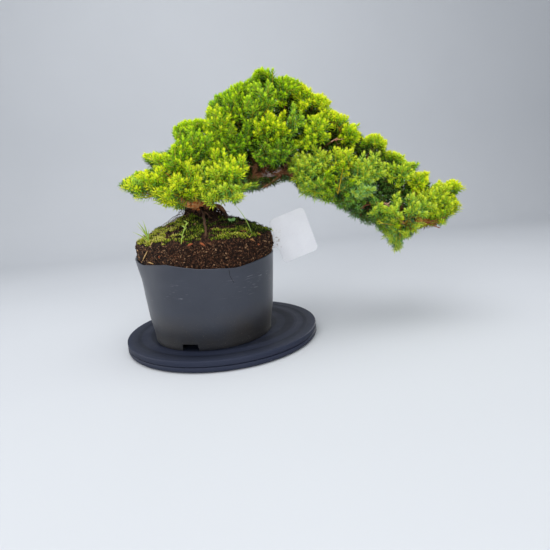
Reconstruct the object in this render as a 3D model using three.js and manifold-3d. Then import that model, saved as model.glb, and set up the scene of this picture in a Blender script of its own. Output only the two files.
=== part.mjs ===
// A garden juniper bonsai in a cut-down nursery pot on a round turntable, in millimetres with +Z up.
// The origin is the middle of the turntable's underside. The tree leans out along +X.
import * as THREE from "three";
import { mergeVertices } from "three/addons/utils/BufferGeometryUtils.js";
import Module from "manifold-3d";

const wasm = await Module();
wasm.setup();

// Clearance between pieces that touch
const GAP = 0.3;

// Turntable: two discs, a glide ring between them and a headed centre pin
const DISC = { radius: 125, sides: 28, baseTop: 7.2, topUnder: 7.8, top: 14.5, edge: 0.8 };
const DISC_FOOT = { inset: 4, rise: 2.8 };
const STEP_BAND = { inner: 100, outer: 112, depth: 0.4 };
const GLIDE = { inner: 68.3, outer: 81.7, under: 4.3, top: 9.4, turningRoom: 1.3 };
const PIN = { radius: 4.8, under: 2.9, headRadius: 11, headUnder: 12, headTop: 14.2, sides: 12 };

// Pot: heights are above its own underside, radii are of its outer wall
const POT = { x: -12, y: -19, wall: 1.5, footWall: 1.8, sides: 28, floorUnder: 10, floorTop: 12 };
const POT_WALL = [
  [0, 73.9],
  [16.5, 75.5],
  [21, 77.2],
  [27, 78],
  [60, 80.9],
];
const POT_RIM_RADIUS = 83.9;
// The wall's slight waves in and out above a height, with their count round the pot and their turn in degrees
const WALL_WAVE = { from: 40, size: 0.7, count: 3, turn: 20 };
// Height of the hand-cut rim at each bearing, in degrees from +X
const RIM_CUT = [
  [-180, 100],
  [-147, 100],
  [-122, 102],
  [-98, 96.2],
  [-68, 92.4],
  [-38, 97],
  [-10, 99.3],
  [60, 99.6],
  [120, 101],
  [180, 100],
];
const NOTCH = { bearings: [-112.5, 7.5, 127.5], width: 21.5, topWidth: 18.5, height: 8, inner: 60, outer: 90 };
const DRAIN_SLOT = { inner: 50, outer: 66, width: 10 };

// Root ball: it fills the pot, stands above the rim as a cliff and ends in a mound
const SOIL = { cliffRadius: 84, cliffTop: 134, edge: 138, rise: 25, steepness: 1.7 };
const CLIFF_FOOT = { aboveRim: 6, inset: 0.6 };
const MOUND_RADII = [79, 52, 25];
// Waves of the cliff's face: size, count round the pot and turn
const CLIFF_WAVES = [
  [0.8, 12, 0],
  [0.5, 20, 1],
];

// Wood: each branch is a list of x, y, z, radius. Branches start inside the one that carries them.
const STUMP = [
  [-18, -19, 150, 14],
  [-18, -19, 161, 15],
  [-17, -19, 168, 12.5],
  [-15, -18, 176, 9],
  [-14, -18, 180, 5],
];
const WOOD = {
  leader: [
    [-16, -19, 168, 8],
    [-11, -18, 177, 8.5],
    [-2, -16, 185, 8],
    [12, -13, 190, 7.4],
    [32, -12, 197, 7],
    [52, -14, 203, 6.5],
    [70, -17, 209, 6],
    [90, -19, 211, 5.6],
    [108, -20, 207, 5.2],
    [128, -20, 203, 4.8],
    [150, -20, 190, 4.4],
    [166, -20, 181, 4.2],
    [186, -20, 171, 3.8],
    [206, -20, 163, 3.5],
    [230, -21, 158, 3.1],
    [262, -20, 146, 2.5],
    [290, -20, 138, 2],
    [304, -22, 136, 1.5],
  ],
  limb: [
    [-12, -20, 178, 7],
    [-20, -32, 179, 6],
    [-28, -44, 180, 4.8],
    [-34, -54, 185, 3.4],
    [-40, -60, 192, 2.2],
  ],
  limb_rise: [
    [-27, -43, 180, 3.4],
    [-27, -47, 192, 2.8],
    [-30, -51, 203, 2.2],
    [-34, -53, 212, 1.7],
  ],
  front: [
    [2, -17, 186, 4.5],
    [10, -36, 189, 3.2],
    [20, -52, 191, 2.5],
    [28, -62, 194, 1.8],
  ],
  mid: [
    [20, -13, 193, 4.5],
    [18, -12, 212, 3.4],
    [8, -12, 230, 2.8],
    [-6, -14, 246, 2.2],
    [-14, -16, 255, 1.7],
  ],
  rise_1: [
    [54, -15, 204, 4.6],
    [59, -22, 222, 3.6],
    [55, -22, 242, 2.9],
    [47, -20, 262, 2.2],
    [40, -18, 278, 1.7],
  ],
  rise_2: [
    [96, -20, 209, 4.6],
    [101, -17, 232, 3.7],
    [101, -15, 256, 3],
    [98, -15, 280, 2.3],
    [92, -17, 298, 1.7],
  ],
  rise_3: [
    [136, -20, 199, 4],
    [142, -18, 220, 3.2],
    [141, -16, 244, 2.6],
    [137, -16, 266, 2],
    [135, -16, 282, 1.6],
  ],
  rise_4: [
    [158, -20, 186, 3.6],
    [165, -22, 208, 2.9],
    [168, -22, 232, 2.2],
    [172, -20, 250, 1.6],
  ],
  rise_5: [
    [186, -20, 171, 3.3],
    [196, -16, 190, 2.7],
    [204, -14, 212, 2.1],
    [209, -14, 228, 1.6],
  ],
  rise_6: [
    [222, -21, 160, 3],
    [232, -18, 178, 2.5],
    [239, -16, 194, 2],
    [246, -16, 206, 1.5],
  ],
  rise_7: [
    [256, -20, 148, 2.5],
    [267, -20, 163, 2.1],
    [275, -20, 178, 1.5],
  ],
  rise_8: [
    [290, -20, 138, 2.1],
    [303, -20, 150, 1.8],
    [313, -20, 161, 1.4],
  ],
  drop: [
    [226, -21, 159, 2.8],
    [230, -32, 150, 2.4],
    [235, -42, 141, 2],
    [240, -48, 134, 1.5],
  ],
  back_left: [
    [-13, -16, 178, 5],
    [-24, -2, 184, 3.6],
    [-35, 10, 193, 2.6],
    [-43, 18, 202, 1.7],
  ],
  back_1: [
    [38, -12, 199, 4],
    [37, 4, 212, 3],
    [30, 18, 228, 2.2],
    [22, 26, 242, 1.6],
  ],
  back_2: [
    [101, -16, 240, 3],
    [98, 2, 252, 2.4],
    [92, 18, 264, 1.7],
  ],
  back_3: [
    [128, -20, 203, 4],
    [132, -4, 212, 2.9],
    [137, 12, 224, 1.8],
  ],
  back_4: [
    [186, -20, 171, 3.4],
    [191, -6, 180, 2.5],
    [196, 8, 190, 1.7],
  ],
  back_5: [
    [240, -20, 154, 2.8],
    [247, -8, 160, 2.1],
    [254, 5, 166, 1.5],
  ],
};
// Dead twigs under the trunk, and the roots that stand out of the soil
const DEAD_TWIGS = {
  dead_left: [
    [92, -20, 208, 2.2],
    [78, -27, 199, 1.6],
    [62, -29, 192, 0.9],
  ],
  dead_right: [
    [262, -21, 145, 1.8],
    [284, -26, 130, 1.3],
    [302, -28, 122, 0.9],
  ],
};
const ROOTS = {
  root_arch: [
    [-12, -22, 171, 4.5],
    [3, -26, 174, 3],
    [14, -28, 171, 2.6],
    [20, -29, 161, 2.3],
    [22, -30, 149, 2],
  ],
  root_left: [
    [-24, -22, 167, 4.5],
    [-38, -27, 161, 3],
    [-52, -32, 152, 2],
  ],
  root_front: [
    [-20, -26, 166, 5],
    [-24, -40, 160, 3],
    [-27, -54, 151, 2],
  ],
  root_right: [
    [-8, -16, 168, 5],
    [8, -10, 162, 3.2],
    [24, -4, 152, 2],
  ],
  root_back: [
    [-20, -12, 167, 5],
    [-28, 4, 160, 3],
    [-34, 18, 149, 2],
  ],
};
const TUBE_SIDES = { stump: 9, leader: 6, branch: 4, twig: 3 };

// Foliage: each spray leaves a branch at a share of its length and reaches one to three tips
const SPRAYS = [
  ["left_tip", "limb", 1, [[-98, -58, 203], [-83, -68, 190]]],
  ["left_upper", "limb", 0.9, [[-79, -54, 214], [-62, -70, 210]]],
  ["left_lower", "limb", 0.7, [[-59, -66, 184], [-45, -60, 177]]],
  ["left_front", "limb", 0.45, [[-23, -82, 207], [-49, -80, 198]]],
  ["left_spike", "limb_rise", 1, [[-69, -56, 238], [-47, -50, 239]]],
  ["left_crown", "limb_rise", 0.8, [[-27, -60, 239], [-37, -72, 225]]],
  ["left_back", "limb_rise", 0.55, [[-16, -46, 250], [-3, -58, 249]]],
  ["front_upper", "front", 1, [[12, -76, 217], [37, -76, 214]]],
  ["front_lower", "front", 0.75, [[34, -72, 179], [15, -84, 181]]],
  ["front_low_left", "front", 0.4, [[-3, -82, 202], [-1, -74, 173]]],
  ["front_rise", "front", 0.25, [[14, -56, 235], [1, -66, 225]]],
  ["mid_left", "mid", 1, [[-39, -18, 248], [-34, -24, 270]]],
  ["mid_top", "mid", 0.8, [[-2, -16, 280], [-15, -34, 274]]],
  ["mid_right", "mid", 0.5, [[22, -46, 271], [10, -30, 263]]],
  ["centre_low", "mid", 0.25, [[43, -52, 253], [32, -58, 236]]],
  ["dome_left", "rise_1", 1, [[8, -22, 294], [21, -8, 307]]],
  ["dome_front_left", "rise_1", 0.75, [[28, -46, 285], [43, -38, 297]]],
  ["dome_upper_left", "rise_1", 0.9, [[41, -28, 314], [59, -14, 322]]],
  ["dome_face", "rise_1", 0.5, [[58, -52, 288], [72, -44, 304]]],
  ["dome_peak", "rise_2", 1, [[75, -20, 334], [88, -26, 331]]],
  ["dome_shoulder", "rise_2", 0.85, [[105, -24, 323], [92, -46, 298], [118, -30, 316]]],
  ["centre_face", "rise_2", 0.35, [[60, -60, 262], [76, -60, 265]]],
  ["centre_right", "rise_2", 0.45, [[84, -56, 254], [105, -50, 268]]],
  ["centre_foot", "rise_2", 0.15, [[60, -58, 234], [89, -58, 232]]],
  ["right_dome", "rise_3", 1, [[134, -20, 309], [115, -36, 288]]],
  ["right_shoulder", "rise_3", 0.85, [[151, -16, 303], [157, -32, 289]]],
  ["right_face", "rise_3", 0.45, [[128, -56, 255], [110, -52, 240]]],
  ["low_left", "rise_3", 0.12, [[101, -50, 206], [128, -60, 219]]],
  ["crest", "rise_4", 1, [[152, -38, 277], [183, -16, 274]]],
  ["crest_right", "rise_4", 0.8, [[196, -20, 264], [178, -40, 244]]],
  ["low_mid", "rise_4", 0.25, [[149, -60, 214], [170, -60, 213]]],
  ["slope", "rise_5", 1, [[213, -16, 251], [231, -24, 241]]],
  ["slope_front", "rise_5", 0.45, [[171, -64, 195], [203, -52, 203]]],
  ["slope_right", "rise_6", 1, [[242, -18, 228], [253, -28, 221]]],
  ["slope_low", "rise_6", 0.6, [[278, -18, 210], [237, -44, 194]]],
  ["end_crest", "rise_7", 1, [[289, -24, 198], [265, -40, 184]]],
  ["end_tip", "rise_8", 1, [[303, -22, 187], [333, -20, 184], [341, -24, 173]]],
  ["end_front", "rise_8", 0.4, [[269, -52, 166], [305, -44, 158]]],
  ["end_low", "leader", 1, [[334, -26, 146], [301, -36, 128]]],
  ["skirt_front", "drop", 0.5, [[198, -58, 159], [213, -66, 151]]],
  ["skirt_mid", "drop", 1, [[255, -62, 158], [254, -56, 120]]],
  ["skirt_tip", "drop", 0.8, [[236, -40, 98], [216, -42, 121]]],
  ["under", "leader", 0.68, [[170, -32, 159], [200, -32, 137]]],
  ["rear_left", "back_left", 1, [[-70, 22, 206], [-48, 34, 216], [-30, 26, 226]]],
  ["rear_mid", "back_1", 1, [[2, 34, 262], [34, 40, 262], [24, 22, 286]]],
  ["rear_dome", "back_2", 1, [[80, 26, 300], [104, 34, 286], [70, 36, 264]]],
  ["rear_low", "back_3", 1, [[126, 34, 244], [156, 30, 240], [148, 24, 266]]],
  ["rear_slope", "back_4", 1, [[190, 28, 216], [218, 22, 208], [206, 30, 184]]],
  ["rear_end", "back_5", 1, [[258, 22, 190], [284, 16, 174], [268, 24, 154]]],
];
const STEM = { baseRadius: 1.5, forkRadius: 1.1, sideRadius: 0.95, tipRadius: 0.7, leafy: 32, point: 4 };
const BEND = { place: 0.55, sag: 0.12, swing: 1.2 };
const SIDE = { place: 0.64, reach: 0.45, extra: 6.5, lean: 0.75, bendLean: 1.2 };
const ROOM = { wanted: 4.2, tries: 14 };
const NEEDLE = { length: 7, lowLean: 1.1, highLean: 0.6, clear: 1.1, stemClear: 2.1, woodClear: 0.8 };
const NEEDLE_TUFT = { spacing: 10.5, length: 1.9, sides: 3 };
const NEEDLE_TRIES = [1, 0.8, 0.6];
const SEED = 27;

// Label: a T-shaped plate in an upright plane. Lengths run along its stem and across it.
const LABEL = { x: 78, y: -19, z: 122.2, tilt: 17.5, thick: 1, head: 49, width: 60, corner: 6 };
const LABEL_STEM = { width: 9, length: 46, point: 7, shoulder: 8 };

// Weeds
const PLUG = { radius: 1.6, depth: 5, top: 0.4, holeTop: 4.4, sides: 6 };
// How far each blade reaches along X, Y and Z from its spot
const TUFT = {
  x: -73,
  y: -68,
  width: 2.2,
  blades: [
    [-9, -2, 23],
    [-4, 3, 25],
    [-17, 2, 13],
    [3, -3, 15],
  ],
};
const LONG_BLADE = { x: 42, y: -78, width: 1.6, blades: [[-18, 2, 38]] };
const SEEDLING = {
  x: 21,
  y: -56,
  width: 1.2,
  reach: [1, -2, 7],
  leafProfile: [
    [0, -0.5],
    [3.6, -0.1],
    [3.6, 0.3],
    [0, 0.6],
  ],
};
const BLADE_THICKNESS = 0.8;

const COLOURS = {
  plastic: { color: 0x23252b, roughness: 0.42, metalness: 0 },
  steel: { color: 0x9a9ca0, roughness: 0.35, metalness: 1 },
  glide: { color: 0xe8e6df, roughness: 0.5, metalness: 0 },
  pot: { color: 0x303236, roughness: 0.5, metalness: 0 },
  soil: { color: 0x2e211a, roughness: 1, metalness: 0 },
  wood: { color: 0x5a3b2a, roughness: 0.9, metalness: 0 },
  foliage: { color: 0x8fb81c, roughness: 0.6, metalness: 0 },
  label: { color: 0xdfe0e2, roughness: 0.4, metalness: 0 },
  grass: { color: 0x7da53a, roughness: 0.6, metalness: 0 },
};

// Seeded draws between 0 and 1
function drawer(seed) {
  let state = seed >>> 0;
  return () => {
    state = (state + 0x6d2b79f5) >>> 0;
    let t = Math.imul(state ^ (state >>> 15), state | 1);
    t = (t + Math.imul(t ^ (t >>> 7), t | 61)) ^ t;
    return ((t ^ (t >>> 14)) >>> 0) / 4294967296;
  };
}

// A closed geometry as a solid for joining and cutting, and back
function toSolid(geometry) {
  const bare = new THREE.BufferGeometry();
  bare.setAttribute("position", geometry.getAttribute("position"));
  if (geometry.index) bare.setIndex(geometry.index);
  const merged = mergeVertices(bare, 1e-4);
  const mesh = new wasm.Mesh({
    numProp: 3,
    vertProperties: new Float32Array(merged.attributes.position.array),
    triVerts: new Uint32Array(merged.index.array),
  });
  return new wasm.Manifold(mesh);
}

function toGeometry(solid) {
  const mesh = solid.getMesh();
  const geometry = new THREE.BufferGeometry();
  geometry.setAttribute("position", new THREE.BufferAttribute(mesh.vertProperties, 3));
  geometry.setIndex(new THREE.BufferAttribute(mesh.triVerts, 1));
  geometry.computeVertexNormals();
  return geometry;
}

const union = (solids) => solids.reduce((sum, solid) => sum.add(solid));
const largestBody = (solid) => solid.decompose().sort((a, b) => b.volume() - a.volume())[0];

function fromTriangles(corners) {
  const geometry = new THREE.BufferGeometry();
  const numbers = corners.flatMap((corner) => [corner.x, corner.y, corner.z]);
  geometry.setAttribute("position", new THREE.Float32BufferAttribute(numbers, 3));
  return mergeVertices(geometry, 1e-4);
}

// Closed skin through rings of equal count, with a fan from a start and an end point
function skinRings(rings, start, end) {
  const corners = [];
  const count = rings[0].length;
  rings.slice(1).forEach((ring, row) => {
    const below = rings[row];
    for (let k = 0; k < count; k += 1) {
      const next = (k + 1) % count;
      corners.push(below[k], below[next], ring[k], below[next], ring[next], ring[k]);
    }
  });
  const last = rings[rings.length - 1];
  for (let k = 0; k < count; k += 1) {
    const next = (k + 1) % count;
    corners.push(start, rings[0][next], rings[0][k], end, last[k], last[next]);
  }
  return fromTriangles(corners);
}

// Solid of revolution about +Z from [radius, height] pairs
function turned(profile, sides, closed) {
  const outline = closed ? [...profile, profile[0]] : profile;
  const points = outline.map(([radius, height]) => new THREE.Vector2(radius, height));
  const geometry = new THREE.LatheGeometry(points, sides);
  geometry.rotateX(Math.PI / 2);
  return geometry;
}

function namedMesh(name, geometry, colour) {
  const mesh = new THREE.Mesh(geometry, new THREE.MeshStandardMaterial(colour));
  mesh.name = name;
  return mesh;
}

// Turntable
function turntableBase() {
  const hole = PIN.radius + GAP;
  const groove = GLIDE.under - GAP;
  return turned(
    [
      [0, 0],
      [DISC.radius - DISC_FOOT.inset, 0],
      [DISC.radius, DISC_FOOT.rise],
      [DISC.radius, DISC.baseTop],
      [GLIDE.outer + GAP, DISC.baseTop],
      [GLIDE.outer + GAP, groove],
      [GLIDE.inner - GAP, groove],
      [GLIDE.inner - GAP, DISC.baseTop],
      [hole, DISC.baseTop],
      [hole, PIN.under - GAP],
      [0, PIN.under - GAP],
    ],
    DISC.sides,
  );
}

function turntableTop() {
  const hole = PIN.radius + GAP;
  const recess = PIN.headRadius + GAP;
  const roof = GLIDE.top + GAP;
  const step = DISC.top - STEP_BAND.depth;
  return turned(
    [
      [hole, DISC.topUnder],
      [GLIDE.inner - GLIDE.turningRoom, DISC.topUnder],
      [GLIDE.inner - GLIDE.turningRoom, roof],
      [GLIDE.outer + GLIDE.turningRoom, roof],
      [GLIDE.outer + GLIDE.turningRoom, DISC.topUnder],
      [DISC.radius, DISC.topUnder],
      [DISC.radius, DISC.top - DISC.edge],
      [DISC.radius - DISC.edge, DISC.top],
      [STEP_BAND.outer, DISC.top],
      [STEP_BAND.outer - STEP_BAND.depth, step],
      [STEP_BAND.inner + STEP_BAND.depth, step],
      [STEP_BAND.inner, DISC.top],
      [recess, DISC.top],
      [recess, PIN.headUnder - GAP],
      [hole, PIN.headUnder - GAP],
    ],
    DISC.sides,
    true,
  );
}

function turntableRing() {
  return turned(
    [
      [GLIDE.inner, GLIDE.under],
      [GLIDE.outer, GLIDE.under],
      [GLIDE.outer, GLIDE.top],
      [GLIDE.inner, GLIDE.top],
    ],
    DISC.sides,
    true,
  );
}

function turntablePin() {
  return turned(
    [
      [0, PIN.under],
      [PIN.radius, PIN.under],
      [PIN.radius, PIN.headUnder],
      [PIN.headRadius, PIN.headUnder],
      [PIN.headRadius, PIN.headTop],
      [0, PIN.headTop],
    ],
    PIN.sides,
  );
}

// Straight-line reading of a table of [place, value] rows
function readTable(table, place) {
  const row = table.findIndex(([next]) => next >= place);
  if (row <= 0) return table[Math.max(row, 0)][1];
  const [p0, v0] = table[row - 1];
  const [p1, v1] = table[row];
  return v0 + ((v1 - v0) * (place - p0)) / (p1 - p0);
}

const rimHeight = (bearing) => readTable(RIM_CUT, THREE.MathUtils.euclideanModulo(bearing + 180, 360) - 180);

// Pot wall radius at a height, with a slight hollow and bulge near the cut rim
function wallRadius(height, bearing) {
  const rim = rimHeight(bearing);
  const plain = readTable([...POT_WALL, [rim, POT_RIM_RADIUS]], Math.min(height, rim));
  const share = THREE.MathUtils.clamp((height - WALL_WAVE.from) / (rim - WALL_WAVE.from), 0, 1);
  const wave = Math.sin(THREE.MathUtils.degToRad(bearing * WALL_WAVE.count + WALL_WAVE.turn));
  return plain + WALL_WAVE.size * share * wave;
}

// Ring of points round the pot's axis, from functions of the bearing in degrees
function potRing(radiusAt, heightAt) {
  return Array.from({ length: POT.sides }, (_, k) => {
    const bearing = (k * 360) / POT.sides - 180;
    const angle = THREE.MathUtils.degToRad(bearing);
    const radius = radiusAt(bearing);
    return new THREE.Vector3(
      POT.x + radius * Math.cos(angle),
      POT.y + radius * Math.sin(angle),
      heightAt(bearing),
    );
  });
}

function potShell(floor) {
  const wallRing = (height, inset) =>
    potRing(
      (b) => wallRadius(height, b) - inset,
      () => floor + height,
    );
  const rimRing = (inset) =>
    potRing(
      (b) => wallRadius(rimHeight(b), b) - inset,
      (b) => floor + rimHeight(b),
    );
  const middle = (height) => new THREE.Vector3(POT.x, POT.y, floor + height);
  const heights = POT_WALL.map(([height]) => height);
  const outer = heights.map((height) => wallRing(height, 0));
  const inner = [...heights.slice(3).reverse(), POT.floorTop].map((height) => wallRing(height, POT.wall));
  const foot = [0, POT.floorUnder].map((height) => wallRing(height, POT.footWall));
  const skin = [foot[0], ...outer, rimRing(0), rimRing(POT.wall), ...inner];
  const cup = toSolid(skinRings(skin, middle(0), middle(POT.floorTop)));
  const hollow = toSolid(skinRings(foot, middle(0), middle(POT.floorUnder)));
  return cup.subtract(hollow);
}

// A trapezium between two heights, drawn out from the pot's axis between two radii
function radialCut(bearing, bottomWidth, topWidth, [low, high], { inner, outer }) {
  const outline = new THREE.Shape([
    new THREE.Vector2(-bottomWidth / 2, low),
    new THREE.Vector2(bottomWidth / 2, low),
    new THREE.Vector2(topWidth / 2, high),
    new THREE.Vector2(-topWidth / 2, high),
  ]);
  const cut = new THREE.ExtrudeGeometry(outline, { depth: outer - inner, bevelEnabled: false });
  cut.translate(0, 0, inner);
  cut.rotateX(Math.PI / 2);
  cut.rotateZ(Math.PI / 2 + THREE.MathUtils.degToRad(bearing));
  cut.translate(POT.x, POT.y, 0);
  return toSolid(cut);
}

function pot(floor) {
  let solid = potShell(floor);
  for (const bearing of NOTCH.bearings) {
    const notch = [floor - 1, floor + NOTCH.height];
    const slot = [floor + POT.floorUnder - 1, floor + POT.floorTop + 1];
    solid = solid
      .subtract(radialCut(bearing, NOTCH.width, NOTCH.topWidth, notch, NOTCH))
      .subtract(radialCut(bearing, DRAIN_SLOT.width, DRAIN_SLOT.width, slot, DRAIN_SLOT));
  }
  return solid;
}

// Uneven ground, by a formula
const ripple = (x, y) =>
  0.9 * Math.sin(x * 0.21 + 1) * Math.cos(y * 0.17) + 0.6 * Math.sin(x * 0.43 - y * 0.37 + 2);

function moundHeight(x, y) {
  const share = Math.hypot(x - POT.x, y - POT.y) / SOIL.cliffRadius;
  return SOIL.edge + SOIL.rise * (1 - Math.min(share, 1) ** SOIL.steepness) + ripple(x, y);
}

// How far the cliff stands out or in at a bearing in degrees
const cliffWave = (bearing) =>
  CLIFF_WAVES.reduce((sum, [size, count, turn]) => {
    return sum + size * Math.sin(THREE.MathUtils.degToRad(bearing) * count + turn);
  }, 0);

function rootBall(floor) {
  const bottom = POT.floorTop + GAP;
  const inPot = (height) =>
    potRing(
      (b) => wallRadius(height, b) - POT.wall - GAP,
      () => floor + height,
    );
  const atRim = potRing(
    (b) => wallRadius(rimHeight(b), b) - POT.wall - GAP,
    (b) => floor + rimHeight(b) + GAP,
  );
  const overRim = potRing(
    (b) => SOIL.cliffRadius - CLIFF_FOOT.inset + cliffWave(b),
    (b) => floor + rimHeight(b) + CLIFF_FOOT.aboveRim,
  );
  const cliffTop = potRing(
    (b) => SOIL.cliffRadius + cliffWave(b + 20),
    (b) => SOIL.cliffTop + cliffWave(b * 2),
  );
  const mound = MOUND_RADII.map((radius) =>
    potRing(
      () => radius,
      () => 0,
    ).map((p) => p.setZ(moundHeight(p.x, p.y))),
  );
  const shoulderHeight = POT_WALL[3][0];
  const rings = [inPot(bottom), inPot(shoulderHeight), atRim, overRim, cliffTop, ...mound];
  const underside = new THREE.Vector3(POT.x, POT.y, floor + bottom);
  const peak = new THREE.Vector3(POT.x, POT.y, moundHeight(POT.x, POT.y));
  return toSolid(skinRings(rings, underside, peak));
}

// Round tube along a branch's points, thicker by grow all over
function branchTube(points, sides, steps, grow = 0) {
  const curve = branchCurve(points);
  const frames = curve.computeFrenetFrames(steps, false);
  const rings = [];
  for (let i = 0; i <= steps; i += 1) {
    const share = i / steps;
    const centre = curve.getPoint(share);
    if (i === 0) centre.addScaledVector(frames.tangents[i], -grow);
    if (i === steps) centre.addScaledVector(frames.tangents[i], grow);
    const radius = branchRadius(points, share) + grow;
    rings.push(ringAbout(centre, frames.normals[i], frames.binormals[i], radius, sides, 0));
  }
  const ends = [0, steps].map((i) => ringMiddle(rings[i]));
  return toSolid(skinRings(rings, ends[0], ends[1]));
}

const branchCurve = (points) =>
  new THREE.CatmullRomCurve3(
    points.map(([x, y, z]) => new THREE.Vector3(x, y, z)),
    false,
    "centripetal",
  );

function branchRadius(points, share) {
  const place = share * (points.length - 1);
  const row = Math.min(Math.floor(place), points.length - 2);
  return THREE.MathUtils.lerp(points[row][3], points[row + 1][3], place - row);
}

function ringAbout(centre, normal, binormal, radius, sides, turn) {
  return Array.from({ length: sides }, (_, k) => {
    const angle = turn + (k * 2 * Math.PI) / sides;
    return centre
      .clone()
      .addScaledVector(normal, radius * Math.cos(angle))
      .addScaledVector(binormal, radius * Math.sin(angle));
  });
}

const ringMiddle = (ring) =>
  ring.reduce((sum, p) => sum.add(p), new THREE.Vector3()).multiplyScalar(1 / ring.length);

// All the wood as one body. With grow it is the room that the wood needs.
function woodwork(grow) {
  const tubes = [branchTube(STUMP, TUBE_SIDES.stump, 6, grow)];
  for (const [name, points] of Object.entries({ ...WOOD, ...ROOTS })) {
    const sides = name === "leader" ? TUBE_SIDES.leader : TUBE_SIDES.branch;
    tubes.push(branchTube(points, sides, points.length - 1, grow));
  }
  for (const points of Object.values(DEAD_TWIGS)) tubes.push(branchTube(points, TUBE_SIDES.twig, 3, grow));
  return union(tubes);
}

// Stretch of a curved shoot: a quadratic curve with a radius at each end
class Shoot {
  constructor(start, bend, end, startRadius, endRadius, leafyLength) {
    this.curve = new THREE.QuadraticBezierCurve3(start, bend, end);
    this.startRadius = startRadius;
    this.endRadius = endRadius;
    this.length = this.curve.getLength();
    this.bare = Math.max(0, 1 - leafyLength / this.length);
    this.path = this.curve.getPoints(6);
  }
}

// Shortest distance between two straight stretches
function stretchDistance(a0, a1, b0, b1) {
  const u = a1.clone().sub(a0);
  const v = b1.clone().sub(b0);
  const w = a0.clone().sub(b0);
  const uu = Math.max(u.dot(u), 1e-9);
  const vv = Math.max(v.dot(v), 1e-9);
  const uv = u.dot(v);
  const uw = u.dot(w);
  const vw = v.dot(w);
  const fold = uu * vv - uv * uv;
  let s = fold > 1e-9 ? THREE.MathUtils.clamp((uv * vw - vv * uw) / fold, 0, 1) : 0;
  const t = THREE.MathUtils.clamp((uv * s + vw) / vv, 0, 1);
  s = THREE.MathUtils.clamp((uv * t - uw) / uu, 0, 1);
  return w.addScaledVector(u, s).addScaledVector(v, -t).length();
}

// Stretches of wood that shoots keep clear of
const woodStretches = Object.values({ STUMP, ...WOOD, ...DEAD_TWIGS, ...ROOTS }).flatMap((points) => {
  const curve = branchCurve(points);
  const steps = points.length * 2 - 2;
  return Array.from({ length: steps }, (_, i) => ({
    a: curve.getPoint(i / steps),
    b: curve.getPoint((i + 1) / steps),
    radius: branchRadius(points, (i + 0.5) / steps),
  }));
});

// Smallest distance of a shoot's path, from one of its points on, to all placed shoots and to the wood
function roomAround(path, from, placed, skip, woodFrom) {
  let room = Infinity;
  for (let i = from; i < path.length - 1; i += 1) {
    for (const other of placed) {
      if (skip.includes(other)) continue;
      for (let j = 0; j < other.path.length - 1; j += 1) {
        room = Math.min(room, stretchDistance(path[i], path[i + 1], other.path[j], other.path[j + 1]));
      }
    }
    if (i < woodFrom) continue;
    for (const wood of woodStretches) {
      room = Math.min(room, stretchDistance(path[i], path[i + 1], wood.a, wood.b) - wood.radius);
    }
  }
  return room;
}

// The shoots of every spray: stems to the given tips, each with a side shoot where there is room
function growShoots() {
  const placed = [];
  const sprays = SPRAYS.map(([name, branch, share, tips], number) => {
    const draw = drawer(SEED + number * 101);
    const start = branchCurve(WOOD[branch]).getPoint(share);
    const stems = [];
    tips.forEach(([x, y, z], order) => {
      const from = order === 0 ? start : stems[0].curve.getPoint(0.3);
      const tip = new THREE.Vector3(x, y, z);
      tip.addScaledVector(tip.clone().sub(from).normalize(), -STEM.point);
      const radius = order === 0 ? STEM.baseRadius : STEM.forkRadius;
      stems.push(clearStem(from, tip, radius, placed, stems, draw));
    });
    placed.push(...stems);
    return { name, stems, sides: [], draw };
  });
  for (const spray of sprays) {
    for (const stem of spray.stems) {
      const side = clearSide(stem, placed, spray.draw);
      if (!side) continue;
      spray.sides.push(side);
      placed.push(side);
    }
  }
  return { sprays, placed };
}

// A stem sags a little on its way and turns up at its tip. It bends aside where others are close.
function clearStem(from, tip, radius, placed, siblings, draw) {
  let best = null;
  let bestRoom = -Infinity;
  for (let go = 0; go < ROOM.tries; go += 1) {
    const bend = from.clone().lerp(tip, BEND.place);
    bend.z -= BEND.sag * Math.hypot(tip.x - from.x, tip.y - from.y);
    const swing = go * BEND.swing;
    bend.x += (draw() - 0.5) * swing;
    bend.y += (draw() - 0.5) * swing;
    bend.z += (draw() - 0.5) * swing;
    const stem = new Shoot(from, bend, tip, radius, STEM.tipRadius, STEM.leafy);
    const room = roomAround(stem.path, 2, placed, siblings, 3);
    if (room > bestRoom) {
      best = stem;
      bestRoom = room;
    }
    if (room > ROOM.wanted) break;
  }
  return best;
}

// A side shoot leaves its stem at a slant and turns forwards. The first draw with room round it is kept.
function clearSide(stem, placed, draw) {
  const start = stem.curve.getPoint(SIDE.place);
  const along = stem.curve.getTangent(SIDE.place);
  const across = new THREE.Vector3(along.y, -along.x, 0.001).normalize();
  const above = new THREE.Vector3().crossVectors(across, along).normalize();
  for (let go = 0; go < ROOM.tries; go += 1) {
    const angle = 2 * Math.PI * draw();
    const reach = (1 - SIDE.place) * stem.length * SIDE.reach + SIDE.extra * (1 + draw());
    const outwards = across.clone().multiplyScalar(Math.cos(angle)).addScaledVector(above, Math.sin(angle));
    const slant = along.clone().addScaledVector(outwards, SIDE.bendLean).normalize();
    const forwards = along.clone().addScaledVector(outwards, SIDE.lean).normalize();
    const bend = start.clone().addScaledVector(slant, reach * 0.5);
    const end = start.clone().addScaledVector(forwards, reach);
    const side = new Shoot(start, bend, end, STEM.sideRadius, STEM.tipRadius, Infinity);
    if (roomAround(side.path, 2, placed, [], 0) > ROOM.wanted) return side;
  }
  return null;
}

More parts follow.
